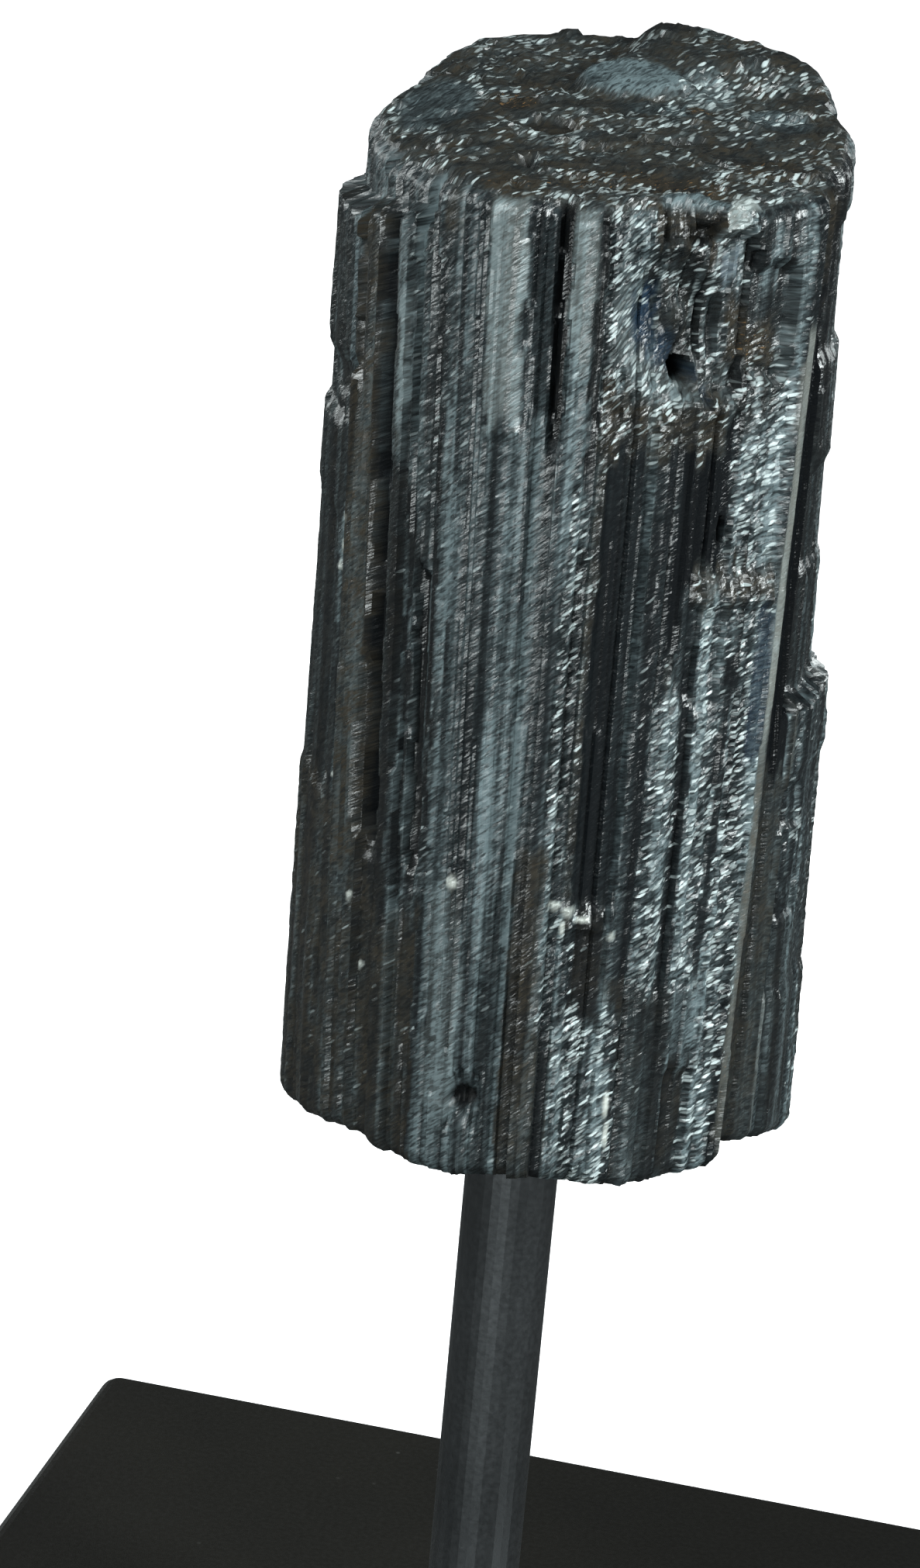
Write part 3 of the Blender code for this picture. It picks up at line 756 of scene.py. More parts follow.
    def wall_skin(self, angle: Array, height: Array) -> Skin:
        """Looks of the wall: a random look for each column, with the named zones painted over it.

        A zone's ends are shifted rib by rib, so that they are ragged along the height.

        Args:
            angle: degrees.
            height: mm.

        Returns:
            The skin of these points.
        """
        rng = np.random.default_rng(self.seed + 3)
        column = follow(angle, height, self.column_height)
        index, _ = self.locate(self.columns[:, 0], column)
        count = len(self.columns)
        film = rng.uniform(*self.column_film_and_sheen, count)
        brown = rng.uniform(*self.column_brown, count) ** 2 * 4
        spark, polish = rng.uniform(*self.column_spark, count), rng.uniform(*self.column_polish, count)
        none = np.zeros((2, *angle.shape))
        skin = Skin(film[index], brown[index], spark[index], polish[index], *none)
        _, piece_tone, rib_tone = self.ribs_out(column, height)
        ragged = height + (piece_tone - 0.5) * self.zone_ragged
        wandering = angle + self.edge_wander(angle, height)
        for zone in ZONES.values():
            skin.paint(zone.cover(wandering, ragged, self.zone_edge, self.zone_fade), zone.look)
        _, patch_tone = FILM_AND_SHEEN_PATCHES.sample(angle * MM_PER_DEGREE, height)
        lively = 1.0 - 0.7 * skin.polish
        uneven = self.piece_uneven * (piece_tone - 0.5) + self.rib_uneven * (rib_tone - 0.5)
        uneven = uneven + self.patch_uneven * (patch_tone - 0.5) - self.darkening
        skin.film *= np.exp(lively * uneven)
        skin.spark *= 1.0 + 0.5 * (patch_tone - 0.5) + 0.5 * (rib_tone - 0.5)
        # Paints light on the bowl's lower-left inner wall.
        skin.paint(BOWL.lower_left_wall(angle, height), BOWL_WALL_PAINTED_LIGHT)
        # Paints shade into every dent deeper than the hole depth.
        for dent in DENTS.values():
            if dent.out < -self.hole_depth:
                skin.paint(np.clip(dent.cover(angle, height) * 1.4, 0, 1), HOLE_PAINTED_SHADE)
        for chip in CHIPS:
            skin.paint(chip.cover(angle, height), CHIP_LOOK)
        return skin

    def wall_radius(self, angle: Array, height: Array, spark: Array) -> Array:
        """Distance of the wall from the crystal's middle line, in mm.

        It is the tapered body plus the reliefs, columns, ribs and dents, plus tilted broken faces whose
        height grows with the sparkle of the place. The smooth facet has hardly any ribs.

        Args:
            angle: degrees.
            height: mm.
            spark: the share of broken faces, 0 to 1.

        Returns:
            The radii.
        """
        radius = self.body_radius - self.body_taper * (height - self.body_foot)
        column = follow(angle, height, self.column_height)
        radius = radius - self.side_shift * np.sin(np.radians(angle)) + self.columns_out(column)
        ribs, piece_tone, _ = self.ribs_out(column, height)
        ribs = ribs * (1.0 - 0.9 * SMOOTH.cover(angle, height, 0.5, 1.0))
        ragged = height + (piece_tone - 0.5) * self.relief_ragged
        wandering = angle + 0.5 * self.edge_wander(angle, height)
        for relief in RELIEFS.values():
            radius = radius + relief.out * relief.cover(wandering, ragged, self.relief_edge, self.relief_fade)
        for relief in FINE_RELIEFS.values():
            radius = radius + relief.out * relief.cover(angle, height, self.fine_edge, self.fine_fade)
        for dent in (BOWL, *DENTS.values(), *CHIPS):
            radius = radius + dent.out * dent.cover(angle, height)
        arc = self.unwrapped(angle) * math.radians(self.body_radius)
        fallen = height - dash_rise(arc)
        coarse, _ = WALL_COARSE.sample(arc, fallen)
        fine, _ = WALL_FINE.sample(arc, fallen)
        coarse_depth = self.broken_least + self.broken_coarse * spark
        fine_depth = self.broken_least + self.broken_fine * spark
        return radius + ribs + coarse_depth * coarse + fine_depth * fine

    def top_base(self, across: Array, back: Array) -> Array:
        """Height of the termination: a slope rising to the back, a terrace on it and a fallen shoulder.

        Args:
            across: mm to the right.
            back: mm backwards.

        Returns:
            Heights in mm.
        """
        left_width, front_width = self.terrace_edges
        left_edge = ramp(across + self.terrace_left - back / 3, 0.0, left_width)
        front_edge = ramp(back - self.terrace_front - 0.3 * np.maximum(across, 0.0), 0.0, front_width)
        height = self.top_height + self.top_slope * back + self.terrace_rise * left_edge * front_edge
        return height - self.shoulder_drop * ramp(-across, *self.shoulder)

    def top_detail(self, across: Array, back: Array) -> tuple[Array, Skin]:
        """Broken surface of the termination: three sizes of tilted faces and the named spots.

        Args:
            across: mm to the right.
            back: mm backwards.

        Returns:
            Heights to add in mm, and the skin.
        """
        skin = Skin.plain(across.shape, TOP_LOOK)
        plates, plate_tone = TOP_PLATES.sample(across, back)
        coarse, _ = TOP_COARSE.sample(across, back)
        fine, _ = TOP_FINE.sample(across, back)
        lift = 0.0
        for spot in SPOTS.values():
            cover = spot.cover(across, back)
            base = self.top_base(np.asarray(spot.across), np.asarray(spot.back)) if spot.tilt else 0.0
            here = self.top_base(across, back) if spot.tilt else 0.0
            lift = lift + (spot.rise(back) + base - here) * cover
            skin.paint(cover, spot.look)
        skin.film *= 1.0 + 1.2 * (plate_tone - 0.5)
        skin.spark *= 1.0 + 1.3 * (plate_tone - 0.5)
        rough = 1.0 - 0.8 * skin.polish
        plate_depth, coarse_depth, fine_depth = self.top_depths
        return lift + rough * (plate_depth * plates + coarse_depth * coarse + fine_depth * fine), skin

    def foot_height(self, angle: Array) -> Array:
        """Height of the lower edge round the crystal, in straight lines between its named points."""
        return np.interp(half_turn(angle), *np.array(FOOT_EDGE).T)

    def to_crystal(self, angle: Array, radius: Array, height: Array) -> Array:
        """Place of a point on the wall: across is radius times sine, back is minus radius times cosine."""
        turn = np.radians(angle)
        return np.stack(np.broadcast_arrays(radius * np.sin(turn), -radius * np.cos(turn), height), axis=-1)

    def to_frame(self, places: Array) -> Array:
        """Leans the upright places over to the left with height, turns them and scales them to metres.

        Args:
            places: upright places in mm.

        Returns:
            Places in the frame.
        """
        across = places[..., 0] + self.body_offset - self.body_lean * (places[..., 2] - self.body_foot)
        turn = math.radians(self.front_turn)
        x = across * math.cos(turn) - places[..., 1] * math.sin(turn)
        y = across * math.sin(turn) + places[..., 1] * math.cos(turn)
        return np.stack([x, y, places[..., 2]], axis=-1) * MM

    def from_frame(self, x: Array, y: Array, height: Array) -> Array:
        """Undoes to_frame for points given in mm.

        Args:
            x: the frame's x.
            y: the frame's y.
            height: height above the floor.

        Returns:
            Upright places.
        """
        turn = math.radians(self.front_turn)
        across = x * math.cos(turn) + y * math.sin(turn)
        back = y * math.cos(turn) - x * math.sin(turn)
        upright = across - self.body_offset + self.body_lean * (height - self.body_foot)
        return np.stack([upright, back, np.broadcast_to(height, across.shape)], axis=-1)

    def crowd(self, even: Array) -> Array:
        """Moves even angles towards the front, where the eye looks: angle less a share of its sine."""
        return even - np.degrees(self.front_crowding * np.sin(np.radians(even)))

    def wall(self) -> tuple[Array, Skin]:
        """Rows of points from the foot to the rim.

        Below the low band and above the high band the rows spread evenly to the foot and to the rim.
        Between them every row keeps one height, so that ledges stay level. The points of a row follow the
        columns, so that a step between two columns runs along the mesh.

        Returns:
            Upright places (rows, round, 3) and their skin.
        """
        round_count = 4 * self.cap_cells
        angle = self.crowd(45.0 + 360.0 * np.arange(round_count) / round_count)
        rim = self.rim_heights(follow(angle, self.column_height, self.top_height))
        foot = self.foot_height(follow(angle, self.column_height, self.body_foot))
        middle_rows = self.wall_rows - self.lower_rows - self.upper_rows
        low = np.linspace(0, 1, self.lower_rows, endpoint=False)[:, None]
        high = np.linspace(0, 1, self.upper_rows + 1)[:, None]
        middle = np.linspace(self.low_band, self.high_band, middle_rows, endpoint=False)[:, None]
        heights = np.vstack([
            foot + (self.low_band - foot) * low,
            middle + 0 * foot,
            self.high_band + (rim - self.high_band) * high,
        ])
        angles = follow(angle, self.column_height, heights)
        skin = self.wall_skin(angles, heights)
        radius = self.wall_radius(angles, heights, skin.spark)
        foot_round = self.foot_rounding * (1 - ramp(heights - foot, 0.0, self.rounded_foot)) ** 2
        rim_round = self.rim_rounding * ramp(heights - rim, -self.rounded_rim, 0.0) ** 2
        return self.to_crystal(angles, radius - foot_round - rim_round, heights), skin

    def rim_heights(self, angle: Array) -> Array:
        """Heights of the rim: the termination at the rim, less its rounding and small bites.

        Args:
            angle: degrees.

        Returns:
            Heights in mm.
        """
        radius = self.wall_radius(angle, np.full_like(angle, self.top_height), np.zeros_like(angle))
        place = self.to_crystal(angle, radius, 0 * angle)
        bites, _ = RIM_BITES.sample(angle * MM_PER_DEGREE, 0 * angle)
        return self.top_base(place[..., 0], place[..., 1]) - self.rim_rounding - self.rim_bite * np.abs(bites)

    def cap_grid(self) -> tuple[Array, Array]:
        """Squares round the middle of the top, to be bent into rings.

        A grid point's ring is the larger of its two distances from the middle. Its angle is an eighth of a
        turn times their ratio, counted from the nearest of the four ways.

        Returns:
            The ring, 0 to 1, and the even angle in degrees of every grid point.
        """
        line = np.arange(self.cap_cells + 1) * 2.0 / self.cap_cells - 1.0
        side, depth = np.meshgrid(line, line, indexing="ij")
        ring = np.maximum(np.abs(side), np.abs(depth))
        whole = np.where(ring == 0, 1.0, ring)
        by_side = np.where(side > 0, 45 * depth / whole, 180 - 45 * depth / whole)
        by_depth = np.where(depth > 0, 90 - 45 * side / whole, 270 + 45 * side / whole)
        return ring, np.where(np.abs(side) >= np.abs(depth), by_side, by_depth) + 90.0

    def cap_numbers(self) -> tuple[Array, Array]:
        """Numbers the grid of the top: first the rim, from its first point on, then what lies inside.

        Returns:
            A mask of the inner points, and the number of every grid point.
        """
        count = self.cap_cells
        inner = np.ones((count + 1, count + 1), bool)
        inner[[0, -1], :] = inner[:, [0, -1]] = False
        index = np.zeros((count + 1, count + 1), int)
        index[inner] = 4 * count + np.arange(inner.sum())
        index[count, :count] = np.arange(count)
        index[count:0:-1, count] = count + np.arange(count)
        index[0, count:0:-1] = 2 * count + np.arange(count)
        index[:count, 0] = 3 * count + np.arange(count)
        return inner, index

    def cap(self, rim: Array) -> tuple[Array, Skin]:
        """The termination inside the rim, whose rings take on the rim's turn, outline and height outwards.

        Args:
            rim: upright places of the rim's points.

        Returns:
            Upright places of the inner points and their skin.
        """
        ring, even = self.cap_grid()
        around, rim_index = len(rim), np.arange(len(rim))
        rim_radius = np.hypot(rim[:, 0], rim[:, 1])
        bearing = np.degrees(np.arctan2(rim[:, 0], -rim[:, 1]))
        turned = half_turn(bearing - self.crowd(45.0 + rim_index * 360.0 / around))
        place_on_rim = (even - 45.0) % 360.0 * around / 360.0
        radius_at, height_at, turn_at = (
            np.interp(place_on_rim, rim_index, values, period=around)
            for values in (rim_radius, rim[:, 2], turned)
        )
        angle = self.crowd(even) + turn_at * ring**2
        smooth = rim_radius.mean()
        radius = ring * (smooth + (radius_at - smooth) * ring**6)
        place = self.to_crystal(angle, radius, 0 * radius)
        detail, skin = self.top_detail(place[..., 0], place[..., 1])
        edge = ramp(ring, self.cap_edge, 1.0)
        height = self.top_base(place[..., 0], place[..., 1]) + detail * (1 - edge)
        place[..., 2] = height + (height_at - height) * edge**3
        inner, _ = self.cap_numbers()
        return place[inner], skin.kept(inner)

    def underside(self, foot: Array) -> tuple[Array, Array]:
        """Rings from the foot to the bore, then up the bore's wall, and the middle of its end.

        A ring's place is a straight line from the foot's point to the bore's point at the same bearing. Its
        height runs from the foot's to the bore mouth's, with a shallow hollow and broken faces between.

        Args:
            foot: upright places of the foot's points.

        Returns:
            Upright places of the rings (rings, round, 3), and of the single point that closes the bore.
        """
        outer = self.to_frame(foot) / MM
        bearing = np.arctan2(outer[:, 1], outer[:, 0])
        inner_x, inner_y = self.bore_radius * np.cos(bearing), self.bore_radius * np.sin(bearing)
        share = (np.arange(1, self.under_rings + 1) / self.under_rings)[:, None]
        mouth = foot[:, 2].mean() + self.mouth_rise
        height = foot[:, 2] + (mouth - foot[:, 2]) * share + self.under_hollow * share * (1 - share)
        x, y = outer[:, 0] + (inner_x - outer[:, 0]) * share, outer[:, 1] + (inner_y - outer[:, 1]) * share
        broken, _ = UNDER_FACES.sample(x, y)
        height = height + self.under_depth * broken * np.minimum(1.0, 4 * (1 - share))
        under = self.from_frame(x, y, height)
        levels = np.linspace(mouth, self.bore_end, self.bore_rings + 1)[1:, None] + 0 * bearing
        bore = self.from_frame(inner_x + 0 * levels, inner_y + 0 * levels, levels)
        end = self.from_frame(np.zeros(1), np.zeros(1), np.full(1, self.bore_end))
        return np.concatenate([under, bore]), end

    def faces(self, rows: int, rings: int) -> tuple[Array, Array]:
        """Faces of the closed mesh: wall, top, rings of the underside and the bore, and the fan that ends it.

        The points are numbered in that order too, row by row and ring by ring, with the fan's middle last.

        Args:
            rows: rows of the wall.
            rings: rings of the underside and the bore.

        Returns:
            Point numbers of every face, one face after the other, and the number of corners of each.
        """
        around = 4 * self.cap_cells
        here, after = np.arange(around), (np.arange(around) + 1) % around
        level = np.arange(rows - 1)[:, None] * around
        above = level + around
        wall = np.stack([level + here, level + after, above + after, above + here], -1)
        inner, index = self.cap_numbers()
        index = index + (rows - 1) * around
        left, right = index[:-1], index[1:]
        top = np.stack([left[:, :-1], right[:, :-1], right[:, 1:], left[:, 1:]], -1)
        first_ring = rows * around + inner.sum()
        starts = np.concatenate([[0], first_ring + np.arange(rings) * around])[:, None]
        outer, inward = starts[:-1], starts[1:]
        under = np.stack([outer + here, inward + here, inward + after, outer + after], -1)
        middle = np.full(around, first_ring + rings * around)
        fan = np.stack([starts[-1] + here, middle, starts[-1] + after], -1)
        quads = np.concatenate([part.reshape(-1, 4) for part in (wall, top, under)])
        sizes = np.concatenate([np.full(len(quads), 4), np.full(len(fan), 3)])
        return np.concatenate([quads.ravel(), fan.ravel()]), sizes

    def build(self) -> Piece:
        """Joins wall, top, underside and bore into one closed mesh with its looks as attributes.

        Returns:
            The crystal's piece, at the origin.
        """
        wall, wall_skin = self.wall()
        top, top_skin = self.cap(wall[-1])
        rings, end = self.underside(wall[0])
        rows, around = wall.shape[:2]
        places = np.concatenate([wall.reshape(-1, 3), top, rings.reshape(-1, 3), end])
        piece = mesh_piece("tourmaline_prism", self.to_frame(places), *self.faces(rows, len(rings)))
        under_skin = Skin.plain((self.under_rings * around,), UNDER_LOOK)
        bore_skin = Skin.plain((self.bore_rings * around + 1,), BORE_LOOK)
        for name in LOOK_ATTRIBUTES:
            skins = (wall_skin, top_skin, under_skin, bore_skin)
            values = np.concatenate([getattr(skin, name.value).ravel() for skin in skins])
            store(piece, name, np.clip(values, 0.0, 1.0))
        store(piece, Attribute.PLACE, places)
        level = np.zeros(len(places))
        level[wall[..., 0].size:wall[..., 0].size + len(top) + self.under_rings * around] = 1.0
        store(piece, Attribute.TOP, level)
        piece.data.set_sharp_from_angle(angle=math.radians(self.sharp_angle))
        return piece

    def dress(self, piece: Piece, finish: "TourmalineFinish") -> None:
        """Gives the piece its finish, hides the solid's crystal and hangs the piece on the root body.

        Args:
            piece: the crystal's piece.
            finish: what its surface looks like.
        """
        piece.data.materials.append(finish.material("black_tourmaline_skin"))
        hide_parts("crystal")
        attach(piece, "root")


def mesh_piece(name: str, points: Array, corners: Array, sizes: Array) -> Piece:
    """Puts whole arrays of points and faces into a new mesh object, shaded smooth.

    Args:
        name: the piece's name.
        points: places in metres.
        corners: point numbers of every face, one face after the other.
        sizes: the number of corners of each face.

    Returns:
        The object, linked to the scene at the origin.
    """
    mesh = bpy.data.meshes.new(name)
    mesh.vertices.add(len(points))
    mesh.vertices.foreach_set("co", points.astype(np.float32).ravel())
    mesh.loops.add(len(corners))
    mesh.loops.foreach_set("vertex_index", corners.astype(np.int32))
    mesh.polygons.add(len(sizes))
    starts = np.concatenate([[0], np.cumsum(sizes)[:-1]])
    mesh.polygons.foreach_set("loop_start", starts.astype(np.int32))
    mesh.update(calc_edges=True)
    mesh.validate()
    mesh.shade_smooth()
    piece = bpy.data.objects.new(name, mesh)
    bpy.context.scene.collection.objects.link(piece)
    return piece


def store(piece: Piece, name: Attribute, values: Array) -> None:
    """Writes one value or vector for each point into the piece's mesh.

    Args:
        piece: the object.
        name: the attribute.
        values: one number, or one row of three, for each point.
    """
    vector = values.ndim == 2
    kind, key = ("FLOAT_VECTOR", "vector") if vector else ("FLOAT", "value")
    layer = piece.data.attributes.new(name.value, kind, "POINT")
    layer.data.foreach_set(key, values.astype(np.float32).ravel())


class Wiring:
    """Adds nodes to one node tree, each with its inputs given as constants or as other nodes' outputs."""

    def __init__(self, tree: Tree) -> None:
        """Starts on a tree, which keeps the nodes that it has."""
        self.tree = tree

    def feed(self, socket: Socket, value: object) -> None:
        """Gives an input its value.

        Args:
            socket: the input.
            value: another node's output, which is linked, or a constant.
        """
        if isinstance(value, Socket):
            self.tree.links.new(value, socket)
        else:
            socket.default_value = value

    def add(self, kind: str, inputs: dict | None = None, **settings: object) -> bpy.types.Node:
        """Makes a node.

        Args:
            kind: the node's type.
            inputs: constants or sockets by input name or number.
            settings: properties of the node.

        Returns:
            The node.
        """
        node = self.tree.nodes.new(kind)
        for name, value in settings.items():
            setattr(node, name, value)
        for key, value in (inputs or {}).items():
            self.feed(node.inputs[key], value)
        return node

    def group(self, tree: Tree, inputs: dict) -> object:
        """The outputs of a shared effect placed in this tree, with its inputs given by name."""
        return self.add("ShaderNodeGroup", inputs, node_tree=tree).outputs

    def math(self, operation: str, first: object, second: object) -> Socket:
        """The result of a Math node on two values."""
        return self.add("ShaderNodeMath", {0: first, 1: second}, operation=operation).outputs[0]

    def plus(self, first: object, second: object) -> Socket:
        """The sum of two values."""
        return self.math("ADD", first, second)

    def minus(self, first: object, second: object) -> Socket:
        """The first value less the second."""
        return self.math("SUBTRACT", first, second)

    def times(self, product: object, *factors: object) -> Socket:
        """Multiplies values.

        Args:
            product: the first value.
            factors: those that it is multiplied by.

        Returns:
            The product.
        """
        for factor in factors:
            product = self.math("MULTIPLY", product, factor)
        return product

    def vector(self, operation: str, first: object, second: object = (0.0, 0.0, 0.0)) -> Socket:
        """The result of a Vector Math node on two vectors."""
        return self.add("ShaderNodeVectorMath", {0: first, 1: second}, operation=operation).outputs[0]

    def scaled(self, vector: object, factor: object) -> Socket:
        """A vector times a number."""
        return self.add("ShaderNodeVectorMath", {0: vector, "Scale": factor}, operation="SCALE").outputs[0]

    def flat(self, first: object, second: object) -> Socket:
        """A vector of two numbers and 0."""
        return self.add("ShaderNodeCombineXYZ", {0: first, 1: second}).outputs[0]

    def mix(self, share: object, first: object, second: object) -> Socket:
        """Two numbers mixed by a share."""
        return self.add("ShaderNodeMix", {0: share, 2: first, 3: second}).outputs[0]

    def blend(self, share: object, first: object, second: object) -> Socket:
        """Two colours mixed by a share."""
        return self.add("ShaderNodeMix", {0: share, 6: first, 7: second}, data_type="RGBA").outputs[2]

    def range(
        self, value: object, low: float, high: float, to_low: float = 0.0, to_high: float = 1.0
    ) -> Socket:
        """A value carried from one range to another, and held inside it."""
        inputs = {"Value": value, "From Min": low, "From Max": high, "To Min": to_low, "To Max": to_high}
        return self.add("ShaderNodeMapRange", inputs).outputs[0]

    def attribute(self, name: Attribute) -> Socket:
        """A value that the mesh carries, or its vector for the place."""
        node = self.add("ShaderNodeAttribute", attribute_name=name.value)
        return node.outputs["Vector" if name is Attribute.PLACE else "Fac"]

    def noise(self, vector: object, scale: float, detail: float = 2.0) -> Socket:
        """Soft noise between about 0 and 1."""
        return self.add("ShaderNodeTexNoise", {"Vector": vector, "Scale": scale, "Detail": detail}).outputs[0]

    def bump(self, height: object, depth: float, normal: object | None = None) -> Socket:
        """Tilts a normal by the slope of a height.

        Args:
            height: a value from 0 to 1.
            depth: metres that it spans.
            normal: the normal to start from, or none for the surface's own.

        Returns:
            The tilted normal.
        """
        inputs = {"Height": height, "Distance": depth, "Strength": 1.0}
        if normal is not None:
            inputs["Normal"] = normal
        return self.add("ShaderNodeBump", inputs).outputs[0]


def effect(
    name: str, inputs: dict[str, tuple[str, object]], outputs: dict[str, str]
) -> tuple[Tree, Wiring, object, object]:
    """Starts a shared effect: a shader node group with named sockets.

    Args:
        name: the group's name.
        inputs: socket type and default value by name.
        outputs: socket type by name.

    Returns:
        The group, its wiring, what comes in, and the sockets that take its results.
    """
    tree = bpy.data.node_groups.new(name, "ShaderNodeTree")
    for key, (kind, default) in inputs.items():
        socket = tree.interface.new_socket(key, in_out="INPUT", socket_type=f"NodeSocket{kind}")
        if default is not None:
            socket.default_value = default
    for key, kind in outputs.items():
        tree.interface.new_socket(key, in_out="OUTPUT", socket_type=f"NodeSocket{kind}")
    wiring = Wiring(tree)
    return tree, wiring, wiring.add("NodeGroupInput").outputs, wiring.add("NodeGroupOutput").inputs


@dataclass
class SharedEffects:
    """Node groups that the finishes share.

    Attributes:
        level_across: how the level parts are stretched from left to right.
        level_back: how they are stretched from front to back.
        level_slant: how far their strokes climb for each mm across.
        dash_edge: where a bright dash ends, in cells from its middle.
        speck_edge: where a speck of dust ends.
        dusty: noise at which dust starts and is full.
        dusty_scale: how fine that noise is, for each mm.
    """

    level_across: float = 1.05
    level_back: float = 0.8
    level_slant: float = 0.7
    dash_edge: Pair = (0.34, 0.54)
    speck_edge: Pair = (0.03, 0.07)
    dusty: Pair = (0.5, 0.7)
    dusty_scale: float = 0.06
    grain: Tree = field(init=False)
    glint: Tree = field(init=False)
    dust: Tree = field(init=False)

    def __post_init__(self) -> None:
        """Makes each group once."""
        self.grain = self.make_grain()
        self.glint = self.make_glint()
        self.dust = self.make_dust()

    def make_grain(self) -> Tree:
        """Unrolls the crystal to flat vectors, so that patterns run over it as over a sheet.

        On the wall the flat vector is (arc, height), the arc being the wall's radius times the angle whose
        tangent is across over minus back. On the level parts it is across and back, each stretched. The
        slanted vector's second number falls by the dash rise on the way to the right, or by the level slant.

        Returns:
            A group from a place in mm and a mask of the level parts, to the two vectors.
        """
        inputs = {"Place": ("Vector", None), "Level": ("Float", 0.0)}
        outputs = {"Flat": "Vector", "Slanted": "Vector"}
        tree, wiring, given, results = effect("unrolled_grain", inputs, outputs)
        across, back, height = wiring.add("ShaderNodeSeparateXYZ", {0: given["Place"]}).outputs
        arc = wiring.times(wiring.math("ARCTAN2", across, wiring.times(back, -1.0)), BODY_RADIUS)
        eased = wiring.range(arc, 0.0, EASING_END, 0.0, EASING_END)
        easing = wiring.times(eased, wiring.minus(wiring.times(arc, 2.0), eased), SLOPE_EASING)
        fallen = wiring.minus(height, wiring.minus(wiring.times(arc, LEFT_SLOPE), easing))
        level_across = wiring.times(across, self.level_across)
        level_back = wiring.times(back, self.level_back)
        level_fallen = wiring.minus(level_back, wiring.times(across, self.level_slant))
        chosen = wiring.math("GREATER_THAN", given["Level"], 0.5)
        pairs = {
            "Flat": (wiring.flat(arc, height), wiring.flat(level_across, level_back)),
            "Slanted": (wiring.flat(arc, fallen), wiring.flat(level_across, level_fallen)),
        }
        for key, (wall, level) in pairs.items():
            mixed = wiring.add("ShaderNodeMix", {0: chosen, 4: wall, 5: level}, data_type="VECTOR")
            wiring.feed(results[key], mixed.outputs[1])
        return tree

    def make_glint(self) -> Tree:
        """Small flats that each face their own way: every cell adds its own random vector to the normal.

        Returns:
            A group from a flat place in cells, a strength and a normal, to the pushed normal, a mask of each
            cell's middle and two random tones of the cell.
        """
        inputs = {"Place": ("Vector", None), "Strength": ("Float", 0.5), "Normal": ("Vector", None)}
        outputs = {"Normal": "Vector", "Dash": "Float", "Tone": "Float", "Shade": "Float"}
        tree, wiring, given, results = effect("glint_faces", inputs, outputs)
        cell_inputs = {"Vector": given["Place"], "Scale": 1.0}
        cells = wiring.add("ShaderNodeTexVoronoi", cell_inputs, voronoi_dimensions="2D").outputs
        pushed = wiring.scaled(wiring.vector("SUBTRACT", cells["Color"], (0.5, 0.5, 0.5)), given["Strength"])
        tones = wiring.add("ShaderNodeSeparateColor", {0: cells["Color"]}).outputs
        normal = wiring.vector("ADD", given["Normal"], pushed)
        wiring.feed(results["Normal"], wiring.vector("NORMALIZE", normal))
        wiring.feed(results["Dash"], wiring.range(cells["Distance"], *self.dash_edge, 1.0, 0.0))
        wiring.feed(results["Tone"], tones["Green"])
        wiring.feed(results["Shade"], tones["Blue"])
        return tree

    def make_dust(self) -> Tree:
        """Sparse soft specks: the middles of scattered cells, kept where a broad noise is high.

        Returns:
            A group from a place in mm, a spacing and an amount, to a mask.
        """
        inputs = {"Place": ("Vector", None), "Spacing": ("Float", 4.0), "Amount": ("Float", 0.5)}
        tree, wiring, given, results = effect("dust_specks", inputs, {"Mask": "Float"})
        cell_inputs = {"Vector": given["Place"], "Scale": wiring.math("DIVIDE", 1.0, given["Spacing"])}
        cells = wiring.add("ShaderNodeTexVoronoi", cell_inputs).outputs
        speck = wiring.range(cells["Distance"], *self.speck_edge, 1.0, 0.0)
        broad = wiring.range(wiring.noise(given["Place"], self.dusty_scale), *self.dusty)
        wiring.feed(results["Mask"], wiring.times(speck, broad, given["Amount"]))
        return tree


def new_material(
    name: str, roughness: float, metallic: float, index: float
) -> tuple[bpy.types.Material, Wiring, object]:
    """An empty material with its shader.

    Args:
        name: its name.
        roughness: the shader's roughness.
        metallic: the shader's metallic value.
        index: the shader's index of refraction.

    Returns:
        The material, its wiring and the shader's inputs.
    """
    material = bpy.data.materials.new(name)
    material.use_nodes = True
    sockets = material.node_tree.nodes["Principled BSDF"].inputs
    for key, value in {"Roughness": roughness, "Metallic": metallic, "IOR": index}.items():
        sockets[key].default_value = value
    return material, Wiring(material.node_tree), sockets


